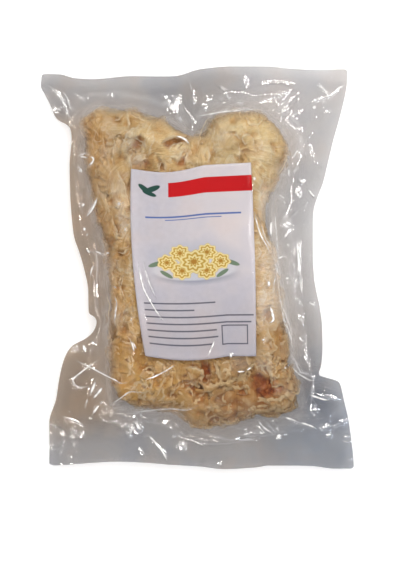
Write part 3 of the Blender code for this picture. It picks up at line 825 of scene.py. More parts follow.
def film_material(name, tint, haze):
    """Clear pouch film: grey see-through, a wet gloss with fine crinkle, and dusty haze where it nears the contents.

    Its dust attribute is how hazy it is, rough how finely it is wrinkled against the contents, the sheen attribute how
    much lighter it is painted (a painted sheen on the back film, whiter milk on the front), warm how much of the
    contents' colour it takes up (a painted reflection of them, and their dust), the cool attribute a painted bluish
    reflection and painted shade, and glint how silvery a crease has made it."""
    mat, nodes, links = new_material(name)
    coords = node(nodes, "ShaderNodeTexCoord")
    dust = node(nodes, "ShaderNodeAttribute", attribute_name="dust").outputs["Fac"]
    rough = node(nodes, "ShaderNodeAttribute", attribute_name="rough").outputs["Fac"]
    fine = node(nodes, "ShaderNodeTexNoise", in_Scale=420.0, in_Detail=3.0, in_Roughness=0.55)
    links.new(coords.outputs["Object"], fine.inputs["Vector"])
    mid = node(nodes, "ShaderNodeTexNoise", in_Scale=130.0, in_Detail=2.0)
    links.new(coords.outputs["Object"], mid.inputs["Vector"])
    soft = node(nodes, "ShaderNodeTexNoise", in_Scale=34.0, in_Detail=3.0, in_Roughness=0.6)
    links.new(coords.outputs["Object"], soft.inputs["Vector"])
    both = math_node(nodes, links, "MULTIPLY_ADD", mid.outputs[0], 1.6, fine.outputs[0])
    bump = node(nodes, "ShaderNodeBump", in_Distance=0.0007)
    links.new(math_node(nodes, links, "MULTIPLY_ADD", rough, 0.35, 0.16), bump.inputs["Strength"])
    links.new(both, bump.inputs["Height"])
    clear = node(nodes, "ShaderNodeBsdfTransparent")
    cool = tuple(c * k for c, k in zip(tint, (0.965, 0.975, 0.995)))
    warm = tuple(min(c * k, 1.0) for c, k in zip(tint, (1.02, 1.0, 0.985)))
    seen = ramp(nodes, links, soft.outputs[0], [(0.36, cool), (0.50, tint), (0.64, warm)])
    # painted sheen and milk: this attribute paints the film lighter and clearer and its haze whiter; on the back film
    # that is a painted sheen towards its right, on the front film the whiter milk along the contents' right
    painted_sheen_and_milk = node(nodes, "ShaderNodeAttribute", attribute_name="painted_sheen_and_milk").outputs["Fac"]
    warm_reflection_and_dust = node(nodes, "ShaderNodeAttribute", attribute_name="warm").outputs["Fac"]
    seen = mix_color(nodes, links, painted_sheen_and_milk, seen, tuple(min(c * 1.42, 1.0) for c in tint))
    # the warm attribute tints the film with the contents' colour: a painted reflection of them, and their dust in the
    # haze
    seen = mix_color(nodes, links, warm_reflection_and_dust, seen, (0.985, 0.875, 0.75), "MULTIPLY")
    # painted bluish reflection towards the lower right, and painted shade over the darker stretch right of the
    # contents' lower end
    painted_cool_reflection_and_shade = node(nodes, "ShaderNodeAttribute", attribute_name="painted_cool_reflection_and_shade").outputs["Fac"]
    seen = mix_color(nodes, links, painted_cool_reflection_and_shade, seen, (0.90, 0.945, 1.0), "MULTIPLY")
    shade = node(nodes, "ShaderNodeAttribute", attribute_name="shade").outputs["Fac"]
    seen = mix_color(nodes, links, shade, seen, (0.70, 0.71, 0.74), "MULTIPLY")
    links.new(seen, clear.inputs["Color"])
    veil = node(nodes, "ShaderNodeBsdfPrincipled", in_Roughness=0.5)
    veil.inputs["Specular IOR Level"].default_value = 0.0
    milk = mix_color(nodes, links, warm_reflection_and_dust, (0.62, 0.60, 0.59), (0.60, 0.50, 0.40))
    links.new(mix_color(nodes, links, painted_sheen_and_milk, milk, (0.86, 0.83, 0.80)), veil.inputs["Base Color"])
    links.new(bump.outputs[0], veil.inputs["Normal"])
    gloss = node(nodes, "ShaderNodeBsdfGlossy")
    gloss.inputs["Color"].default_value = (1, 1, 1, 1)
    links.new(math_node(nodes, links, "MULTIPLY_ADD", rough, 0.17, 0.085), gloss.inputs["Roughness"])
    links.new(bump.outputs[0], gloss.inputs["Normal"])
    weight = node(nodes, "ShaderNodeLayerWeight", in_Blend=0.5)
    links.new(bump.outputs[0], weight.inputs["Normal"])
    grazing = math_node(nodes, links, "POWER", weight.outputs["Facing"], 5.0)
    mirror = math_node(nodes, links, "MULTIPLY_ADD", grazing, 0.93, 0.045)
    mirror = math_node(nodes, links, "MULTIPLY", mirror, math_node(nodes, links, "MULTIPLY_ADD", rough, -0.72, 1.0))
    glint = node(nodes, "ShaderNodeAttribute", attribute_name="glint").outputs["Fac"]
    mirror = math_node(nodes, links, "MULTIPLY_ADD", glint, 0.34, mirror, clamp=True)
    body = node(nodes, "ShaderNodeMixShader")
    hazy = math_node(nodes, links, "MULTIPLY", math_node(nodes, links, "MULTIPLY_ADD", soft.outputs[0], 1.2, 0.4), dust)
    links.new(math_node(nodes, links, "MULTIPLY_ADD", hazy, 0.34, haze, clamp=True), body.inputs[0])
    links.new(clear.outputs[0], body.inputs[1])
    links.new(veil.outputs[0], body.inputs[2])
    top = node(nodes, "ShaderNodeMixShader")
    links.new(mirror, top.inputs[0])
    links.new(body.outputs[0], top.inputs[1])
    links.new(gloss.outputs[0], top.inputs[2])
    out = node(nodes, "ShaderNodeOutputMaterial")
    links.new(top.outputs[0], out.inputs[0])
    return mat


def painted_highlight_material(name):
    """Painted crease highlight: white paint on the film, clear where its highlight attribute is 0."""
    mat, nodes, links = new_material(name)
    painted_highlight = node(nodes, "ShaderNodeAttribute", attribute_name="painted_highlight").outputs["Fac"]
    clear = node(nodes, "ShaderNodeBsdfTransparent")
    pale = node(nodes, "ShaderNodeBsdfPrincipled", in_Roughness=0.3)
    pale.inputs["Base Color"].default_value = (1.0, 0.985, 0.96, 1)
    pale.inputs["Specular IOR Level"].default_value = 0.5
    both = node(nodes, "ShaderNodeMixShader")
    links.new(painted_highlight, both.inputs[0])
    links.new(clear.outputs[0], both.inputs[1])
    links.new(pale.outputs[0], both.inputs[2])
    out = node(nodes, "ShaderNodeOutputMaterial")
    links.new(both.outputs[0], out.inputs[0])
    return mat


def fungus_material(name):
    """Dried fungus: papery cream fronds, golden where they sink, red-brown down in the hollows: the fungus's browner
    inside with painted shade over it.
    """
    mat, nodes, links = new_material(name)
    depth = node(nodes, "ShaderNodeAttribute", attribute_name="depth").outputs["Fac"]
    rim = node(nodes, "ShaderNodeAttribute", attribute_name="rim").outputs["Fac"]
    tone = node(nodes, "ShaderNodeAttribute", attribute_name="tone").outputs["Fac"]
    red = node(nodes, "ShaderNodeAttribute", attribute_name="red").outputs["Fac"]
    uv = node(nodes, "ShaderNodeUVMap", uv_map="UVMap").outputs[0]
    coords = node(nodes, "ShaderNodeTexCoord").outputs["Object"]

    def stretched(a, b, **values):
        mapping = node(nodes, "ShaderNodeMapping")
        mapping.inputs["Scale"].default_value = (a, b, 1.0)
        links.new(uv, mapping.inputs["Vector"])
        texture = node(nodes, "ShaderNodeTexNoise", in_Scale=1.0, **values)
        links.new(mapping.outputs[0], texture.inputs["Vector"])
        return texture.outputs[0]

    streak = stretched(0.5, 0.09, in_Detail=4.0, in_Roughness=0.6, in_Distortion=0.6)
    patch = node(nodes, "ShaderNodeTexNoise", in_Scale=60.0, in_Detail=4.0, in_Roughness=0.6)
    links.new(coords, patch.inputs["Vector"])
    broad = node(nodes, "ShaderNodeTexNoise", in_Scale=22.0, in_Detail=2.0)
    links.new(coords, broad.inputs["Vector"])
    speck = node(nodes, "ShaderNodeTexNoise", in_Scale=520.0, in_Detail=2.0)
    links.new(coords, speck.inputs["Vector"])

    mixed = math_node(nodes, links, "MULTIPLY_ADD", streak, 0.45, math_node(nodes, links, "MULTIPLY", patch.outputs[0], 0.55))
    surface = ramp(nodes, links, mixed, [
        (0.38, (0.66, 0.40, 0.145)), (0.46, (0.85, 0.61, 0.29)),
        (0.53, (0.95, 0.76, 0.44)), (0.60, (1.0, 0.89, 0.65)),
    ])
    fibre = stretched(0.95, 0.075, in_Detail=3.0, in_Roughness=0.6, in_Distortion=0.5)
    combed = ramp(nodes, links, fibre, [(0.39, (0.64, 0.53, 0.39)), (0.48, (0.93, 0.90, 0.85)), (0.55, (1.0, 1.0, 1.0))])
    surface = mix_color(nodes, links, 0.9, surface, combed, "MULTIPLY")
    fleck = node(nodes, "ShaderNodeTexNoise", in_Scale=210.0, in_Detail=3.0, in_Roughness=0.65)
    links.new(coords, fleck.inputs["Vector"])
    amber = math_node(nodes, links, "MULTIPLY_ADD", fleck.outputs[0], -8.0, 3.75, clamp=True)
    surface = mix_color(nodes, links, math_node(nodes, links, "MULTIPLY", amber, 0.42), surface, (0.66, 0.37, 0.12))
    pocket = node(nodes, "ShaderNodeTexNoise", in_Scale=58.0, in_Detail=3.0, in_Roughness=0.62, in_Distortion=0.7)
    links.new(coords, pocket.inputs["Vector"])
    amber = math_node(nodes, links, "MULTIPLY_ADD", pocket.outputs[0], -9.0, 4.05, clamp=True)
    surface = mix_color(nodes, links, math_node(nodes, links, "MULTIPLY", amber, 0.50), surface, (0.74, 0.40, 0.09))
    cream = math_node(nodes, links, "MULTIPLY_ADD", pocket.outputs[0], 9.0, -4.85, clamp=True)
    surface = mix_color(nodes, links, math_node(nodes, links, "MULTIPLY", cream, 0.50), surface, (1.0, 0.86, 0.68))
    gold = mix_color(nodes, links, math_node(nodes, links, "MULTIPLY", tone, 0.50), surface, (0.76, 0.48, 0.19))
    # the lower end of the bag is browner
    split = node(nodes, "ShaderNodeSeparateXYZ")
    links.new(coords, split.inputs[0])
    low = math_node(nodes, links, "MULTIPLY_ADD", split.outputs[1], -14.0, -0.25, clamp=True)
    low = math_node(nodes, links, "MULTIPLY", low, math_node(nodes, links, "MULTIPLY_ADD", broad.outputs[0], 2.2, -0.45), clamp=True)
    low = math_node(nodes, links, "MULTIPLY", low, math_node(nodes, links, "MULTIPLY_ADD", split.outputs[0], 9.0, 0.95, clamp=True))
    aged = mix_color(nodes, links, low, gold, (0.52, 0.30, 0.11))
    high = math_node(nodes, links, "MULTIPLY_ADD", split.outputs[1], 11.0, -0.35, clamp=True)
    high = math_node(nodes, links, "MULTIPLY", high, math_node(nodes, links, "MULTIPLY_ADD", split.outputs[0], 6.0, 0.55, clamp=True))
    aged = mix_color(nodes, links, math_node(nodes, links, "MULTIPLY", high, 0.74), aged, (1.0, 0.89, 0.53))
    # and its lower left more golden
    corner = math_node(nodes, links, "MULTIPLY_ADD", split.outputs[1], -16.0, -0.55, clamp=True)
    corner = math_node(nodes, links, "MULTIPLY", corner, math_node(nodes, links, "MULTIPLY_ADD", split.outputs[0], -18.0, 0.25, clamp=True))
    aged = mix_color(nodes, links, math_node(nodes, links, "MULTIPLY", corner, 0.72), aged, (0.80, 0.45, 0.09))
    # the hollow colours, which the depth attribute brings in: the fungus's browner, redder inside, darkened as painted
    # shade in hollows and under lobe edges
    hollow = ramp(nodes, links, patch.outputs[0], [
        (0.35, (0.62, 0.32, 0.085)), (0.52, (0.76, 0.45, 0.14)), (0.68, (0.84, 0.56, 0.22)),
    ])
    red_hollow_with_painted_shade = ramp(nodes, links, patch.outputs[0], [
        (0.35, (0.40, 0.105, 0.028)), (0.55, (0.54, 0.19, 0.055)), (0.70, (0.64, 0.28, 0.09)),
    ])
    inside = mix_color(nodes, links, red, hollow, red_hollow_with_painted_shade)
    deep = math_node(nodes, links, "POWER", depth, 0.95, clamp=True)
    sunk_with_painted_shade = mix_color(nodes, links, deep, aged, inside)
    # pale thin rims and lobe edges, with a painted highlight along their crests
    frill = node(nodes, "ShaderNodeAttribute", attribute_name="frill").outputs["Fac"]
    edge = math_node(nodes, links, "MULTIPLY", math_node(nodes, links, "POWER", rim, 12.0), 0.45)
    edge = math_node(nodes, links, "MAXIMUM", edge, math_node(nodes, links, "MULTIPLY", frill, 0.80), clamp=True)
    lip = mix_color(nodes, links, low, (0.98, 0.88, 0.66), (0.93, 0.75, 0.43))
    color = mix_color(nodes, links, edge, sunk_with_painted_shade, lip)
    # the thinnest rims at the sides are pale and half clear; the paleness is also painted light that lifts the shaded
    # sides
    thin = node(nodes, "ShaderNodeAttribute", attribute_name="thin").outputs["Fac"]
    color = mix_color(nodes, links, math_node(nodes, links, "MULTIPLY", thin, 0.75), color, mix_color(nodes, links, low, (0.98, 0.88, 0.64), (0.88, 0.70, 0.40)))

    ridge = stretched(0.75, 0.16, in_Detail=3.0, in_Distortion=1.2)
    crumple = math_node(nodes, links, "MULTIPLY_ADD", patch.outputs[0], 1.2, ridge)
    crumple = math_node(nodes, links, "MULTIPLY_ADD", fibre, 0.9, crumple)
    crumple = math_node(nodes, links, "MULTIPLY_ADD", fleck.outputs[0], 0.7, crumple)
    bump = node(nodes, "ShaderNodeBump", in_Strength=0.75, in_Distance=0.0011)
    links.new(math_node(nodes, links, "MULTIPLY_ADD", speck.outputs[0], 0.2, crumple), bump.inputs["Height"])

    shader = node(nodes, "ShaderNodeBsdfPrincipled", in_Roughness=0.62)
    shader.inputs["Specular IOR Level"].default_value = 0.06
    links.new(color, shader.inputs["Base Color"])
    links.new(bump.outputs[0], shader.inputs["Normal"])
    glow = node(nodes, "ShaderNodeBsdfTranslucent")
    links.new(mix_color(nodes, links, 0.30, color, (0.97, 0.76, 0.42)), glow.inputs["Color"])
    links.new(bump.outputs[0], glow.inputs["Normal"])
    both = node(nodes, "ShaderNodeMixShader")
    both.inputs[0].default_value = 0.34
    links.new(shader.outputs[0], both.inputs[1])
    links.new(glow.outputs[0], both.inputs[2])
    clear = node(nodes, "ShaderNodeBsdfTransparent")
    clear.inputs["Color"].default_value = (0.97, 0.90, 0.78, 1)
    worn = math_node(nodes, links, "MULTIPLY", thin, math_node(nodes, links, "MULTIPLY_ADD", patch.outputs[0], 1.5, 0.15, clamp=True))
    faded = node(nodes, "ShaderNodeMixShader")
    links.new(worn, faded.inputs[0])
    links.new(both.outputs[0], faded.inputs[1])
    links.new(clear.outputs[0], faded.inputs[2])
    out = node(nodes, "ShaderNodeOutputMaterial")
    links.new(faded.outputs[0], out.inputs[0])
    return mat


# ---- film ------------------------------------------------------------------------
FRONT = front_surface(GX, GY)
FRONT = np.minimum(FRONT, FRONT - np.maximum(raised(GX, GY, swell(GX, GY)), 0))  # what lies under the film doesn't follow its raised creases
BACK = back_surface(GX, GY)


# where the film lies milky on the contents: (photo pixel, radius mm, how much)
HAZES = [
    ((131, 145), 5, 0.8), ((137, 160), 7, 0.9), ((119.8, 204.5), 4, 1.0), ((126, 224), 7, 0.7), ((113, 264), 6, 0.55),
    ((117, 318), 7, 0.7), ((112, 180), 8, 0.55), ((104, 152), 6, 0.5), ((222, 140), 7, 0.5), ((260, 152), 8, 0.45),
    ((275, 168), 7, 0.5), ((262, 365), 6, 0.8), ((246, 413), 8, 0.4), ((222, 398), 6, 0.3), ((165, 372), 6, 0.2),
    ((240, 363), 7, 0.45), ((187, 377), 5, 0.4), ((280, 350), 6, 0.25), ((286, 390), 7, 0.4), ((150, 398), 8, 0.15),
]


def uneven(count, low, high):
    """Grid lines from 0 to 1, set wider between low and high, where the label keeps the film smooth."""
    t = np.linspace(0, 1, 2001)
    dense = 1 - 0.42 * smoothstep(low - 0.03, low + 0.03, t) * smoothstep(high + 0.03, high - 0.03, t)
    done = np.cumsum(dense)
    done = (done - done[0]) / (done[-1] - done[0])
    return np.interp(np.linspace(0, 1, count + 1), done, t)


def build_film(name, surface, spacing, material, flip):
    columns, rows = round(256 / spacing), round(330 / spacing)
    u, v = np.meshgrid(uneven(columns, 0.30, 0.66), uneven(rows, 0.29, 0.75))
    x, y = pouch_plan(u, v)
    z = surface(x, y)
    points = np.stack([x, y, z], -1).reshape(-1, 3)
    d = look_up(DIST, x, y)
    outside = smoothstep(5, -2, d) * np.exp(-np.maximum(-d, 0) / 9.0)
    dim = np.exp(-(((x - 96) / 20) ** 2) - ((y + 99) / 24) ** 2)  # the darker stretch right of the contents' lower end
    dust = outside * 0.75 * (1 - 0.8 * dim) * (1 - 0.4 * smoothstep(-112, -128, y))
    milky = np.zeros_like(x)
    if not flip:
        # the film lies milky along the right of the contents and round their lower end
        strip = smoothstep(44, 54, x) * smoothstep(-60, -20, y) * smoothstep(85, 60, y)
        foot = smoothstep(-104, -118, y) * smoothstep(-30, 0, x + 20 * noise(x / 20, y / 20, 0.5, 231))
        dust = np.maximum(dust, (0.86 * strip + 0.15 * foot) * (0.6 + 0.8 * noise(x / 13, y / 30, 0.5, 232)) * smoothstep(-8, 2, d))
        for at, radius, strength in HAZES:
            cx, cy = photo(*at)
            spread = ((x - cx) ** 2 + (y - cy) ** 2) / radius**2
            dust = np.maximum(dust, strength * np.exp(-spread) * (0.7 + 0.7 * noise(x / 6, y / 9, 0.5, 235)))
        dust = np.clip(dust, 0, 1)
        milky = strip
    satin = smoothstep(0.02, 0.40, noise(x / 27, y / 27, 0.5, 233) + 0.4 * noise(x / 11, y / 11, 0.5, 234)) * smoothstep(4, -4, d)
    on_contents = smoothstep(-1, 6, d) * (1 - 0.92 * label_cover(x, y))
    on_contents = np.maximum(on_contents, 0.85 * satin) * (1 - near_creases(x, y))
    still = smoothstep(-22, -40, x) * smoothstep(112, 122, y) * (1 - 0.8 * np.exp(-(((x + 113.5) / 6) ** 2) - ((y - 129.7) / 6) ** 2))
    still = np.maximum(still, 0.75 * np.exp(-(((x - 108) / 12) ** 2) - ((y - 141) / 10) ** 2))  # and the top right corner
    on_contents = np.maximum(on_contents, 0.9 * still)
    # painted sheen: the back film is painted lighter towards its right and top right; the front film takes the milky
    # strip instead
    from_x = 40 - 50 * smoothstep(60, 150, y)
    painted_sheen_and_milk = 0.9 * smoothstep(from_x, from_x + 78, x) * smoothstep(-100, 60, y) if flip else milky
    # warm: painted reflection of the contents' colour down the left margin and round their edge, where their dust also
    # lies
    warm = smoothstep(-52, -84, x) * smoothstep(140, 105, y) * smoothstep(-150, -105, y)
    warm = np.maximum(1.25 * warm, 0.30 * outside) * (1.0 if flip else 0.40)
    quads, uv = grid_faces(columns, rows), np.stack([u, v], -1).reshape(-1, 2)
    glint = np.zeros_like(x) if flip else crease_glint(x, y) * (1 - 0.75 * smoothstep(-2, 4, d))
    # where the film is painted bluish as a reflection, and painted darker as shade over the dim stretch
    painted_cool_reflection_and_shade = np.maximum(smoothstep(30, 80, x) * smoothstep(-70, -110, y), dim) * (1.0 if flip else 0.25)
    attributes = {
        "dust": dust.ravel(), "rough": np.zeros(x.size) if flip else on_contents.ravel(), "painted_sheen_and_milk": painted_sheen_and_milk.ravel(),
        "warm": warm.ravel(), "glint": glint.ravel(), "painted_cool_reflection_and_shade": painted_cool_reflection_and_shade.ravel(), "painted_highlight": np.zeros(x.size),
        "shade": (dim * (1.0 if flip else 0.25)).ravel(),
    }
    plain = len(quads)
    if not flip:
        # the painted highlight strips join the front film, with a white painted-highlight material of their own
        more, strips, painted_highlight = painted_highlight_strips()
        quads = np.concatenate([quads, strips + len(points)])
        points = np.concatenate([points, more])
        uv = np.concatenate([uv, more[:, :2] / 300 + 0.5])
        attributes = {k: np.concatenate([v, painted_highlight if k == "painted_highlight" else np.zeros(len(more))]) for k, v in attributes.items()}
    piece = mesh_object(name, points, quads, uv=uv, attributes=attributes, material=material, flip=flip)
    if not flip:
        piece.data.materials.append(painted_highlight_material("painted crease highlight"))
        piece.data.polygons.foreach_set("material_index", (np.arange(len(quads)) >= plain).astype(np.int32))
    return piece


# ---- fungus ----------------------------------------------------------------------
# head: ((centre x, centre y, half width, half length) mm, where its fronds spread from, seed, mean frond mm, frill mm, depth of its layers mm)
HEADS = {
    "head_top_left": ((-45.5, 88.0, 46.0, 43.0), photo(150, 172), 101, 29, 1.3, 2.8),
    "head_top_right": ((36.5, 88.0, 38.0, 43.0), photo(243, 152), 202, 24, 1.0, 2.3),
    "head_middle_left": ((-39.0, 4.0, 38.0, 43.0), photo(150, 262), 303, 25, 1.1, 2.6),
    "head_middle_right": ((33.5, 4.0, 35.0, 43.0), photo(236, 262), 404, 23, 1.0, 2.6),
    "head_bottom_left": ((-34.5, -84.0, 38.0, 47.0), photo(158, 356), 505, 30, 2.4, 6.0),
    "head_bottom_right": ((43.5, -84.0, 41.0, 47.0), photo(258, 384), 606, 29, 2.7, 6.6),
}
# where a head opens and its inside shows: (photo pixel, radius mm, stretch, turn, depth mm, redness)
HOLLOWS = [
    ((138, 144), 4.6, 1.2, 0.5, 6.5, 0.5), ((131, 153), 3.2, 1.0, 0.0, 5.0, 0.45), ((120, 158), 2.8, 1.3, 0.3, 4.0, 0.25),
    ((118.6, 121), 3.0, 1.2, 0.6, 3.6, 0.0), ((101, 122), 2.8, 1.8, 1.4, 3.0, 0.0), ((132, 124), 4.4, 1.4, -0.4, 4.2, 0.1),
    ((171, 144), 4.6, 1.9, 0.4, 7.0, 0.35), ((181, 164), 3.6, 1.7, 1.0, 5.5, 0.9), ((162, 167), 2.6, 1.3, 1.5, 4.5, 0.8),
    ((123, 140), 2.4, 1.5, 1.2, 3.0, 0.2), ((158, 131), 3.6, 1.2, 0.0, 2.6, 0.0), ((146, 165), 2.6, 1.5, 0.1, 4.0, 0.6),
    ((159, 162), 1.6, 1.0, 0.0, 4.0, 0.2), ((190, 155), 3.6, 2.0, 1.2, 4.0, 0.3),
    ((234, 120), 2.6, 1.3, 1.2, 3.4, 0.0), ((249, 121), 2.4, 1.9, 1.9, 3.4, 0.0), ((260, 122), 2.4, 1.9, 1.1, 3.0, 0.0),
    ((213, 131), 2.0, 1.8, 1.3, 2.8, 0.1), ((233, 135), 2.4, 1.6, 0.8, 4.0, 0.15), ((241, 146), 2.8, 1.5, 0.2, 4.6, 0.2),
    ((240, 140), 2.0, 1.6, 1.2, 3.6, 0.15), ((254, 135), 2.6, 1.4, -0.4, 3.8, 0.15), ((274, 148), 2.6, 1.6, 1.1, 3.2, 0.1),
    ((237, 158), 2.0, 2.4, 1.4, 3.6, 0.2), ((210, 160), 2.6, 1.5, 0.6, 3.0, 0.2), ((196, 148), 3.0, 2.2, 1.1, 4.5, 0.2),
    ((262, 171), 2.6, 1.5, 0.1, 3.6, 0.2), ((263, 190), 3.0, 1.5, 1.4, 3.8, 0.2), ((262, 226), 3.0, 1.7, 1.5, 3.6, 0.2),
    ((266, 314), 3.8, 1.6, 1.4, 6.0, 0.4), ((271, 343), 3.8, 1.7, 1.3, 5.5, 0.4), ((262, 268), 2.8, 1.8, 1.4, 3.4, 0.3),
((264, 387), 8.6, 1.35, 0.0, 8.0, 1.0), ((256, 377), 4.4, 1.5, 1.3, 7.5, 1.0), ((277, 388), 4.0, 1.6, 0.2, 6.0, 0.8),
    ((206, 368), 4.6, 1.7, 1.9, 9.0, 1.0), ((204, 379), 4.0, 2.2, 0.1, 7.0, 0.9), ((191, 389), 4.0, 1.9, -0.6, 6.0, 0.9),
    ((199, 397), 4.4, 1.4, 0.9, 6.0, 0.7), ((241, 392), 3.8, 1.5, -0.5, 6.0, 0.8), ((199, 413), 3.4, 2.2, 0.2, 4.0, 0.5),
    ((172, 394), 3.4, 1.5, -0.6, 4.6, 0.7), ((146, 369), 4.6, 1.6, 0.2, 4.5, 0.7), ((158, 377), 4.0, 1.6, 0.5, 4.2, 0.7),
    ((134, 384), 3.0, 1.4, 0.9, 4.0, 0.4), ((158, 383), 2.6, 1.9, 1.4, 4.0, 0.5), ((262, 402), 3.6, 1.6, 0.5, 4.6, 0.7),
    ((274, 398), 3.2, 1.5, 0.8, 4.6, 0.7), ((216, 371), 2.6, 2.0, 1.1, 5.0, 0.6), ((246, 372), 3.0, 2.0, 0.7, 5.0, 0.5),
    ((113, 200), 3.0, 1.7, 1.3, 4.0, 0.3), ((104, 214), 3.4, 1.8, 1.2, 3.6, 0.1), ((111, 242), 4.0, 1.7, 1.5, 4.6, 0.3),
    ((124, 252), 2.6, 2.4, 0.2, 4.6, 0.6), ((120, 288), 3.0, 1.9, 1.5, 3.6, 0.4), ((111, 305), 3.0, 1.6, 1.2, 3.6, 0.4),
    ((123, 330), 3.2, 1.6, 1.2, 4.2, 0.5), ((108, 345), 2.8, 1.6, 0.4, 3.8, 0.4), ((130, 187), 3.0, 2.0, 1.6, 4.0, 0.6),
    ((220.6, 142.5), 0.9, 1.2, 0.2, 3.5, 0.6), ((232.4, 151.4), 0.9, 1.2, 0.2, 3.5, 0.5), ((140.5, 152.8), 1.3, 1.0, 0.0, 4.0, 0.4),
    ((253.8, 136.5), 2.0, 1.6, 0.4, 3.6, 0.2), ((237.5, 121), 2.0, 1.2, 1.4, 3.2, 0.0),
    ((284, 165), 2.4, 1.6, 1.2, 3.2, 0.1), ((254, 166), 2.4, 1.4, 0.3, 3.0, 0.3),
    ((127, 190), 2.6, 4.0, 1.5, 3.6, 0.9), ((129, 214), 2.6, 4.5, 1.5, 4.0, 0.9), ((128, 246), 2.4, 3.5, 1.4, 3.0, 0.7),
    ((118, 231), 2.2, 4.0, 1.2, 3.0, 0.5), ((108, 196), 2.0, 4.0, 1.3, 2.6, 0.2), ((123, 300), 2.0, 4.0, 1.4, 3.0, 0.6),
    ((117, 262), 1.8, 4.0, 1.4, 2.6, 0.3), ((129, 340), 2.4, 2.6, 1.2, 3.6, 0.7), ((148, 385), 2.6, 3.0, 0.3, 4.0, 0.7),
    ((222, 385), 2.6, 2.6, 0.8, 4.0, 0.7), ((232, 402), 2.6, 2.6, 0.2, 4.4, 0.7), ((187, 372), 2.0, 3.0, 1.3, 3.6, 0.6),
    ((176, 404), 2.4, 3.0, 0.1, 3.6, 0.5), ((252, 412), 2.4, 3.0, 0.2, 3.6, 0.6), ((284, 372), 2.0, 3.0, 1.4, 3.6, 0.4),
]


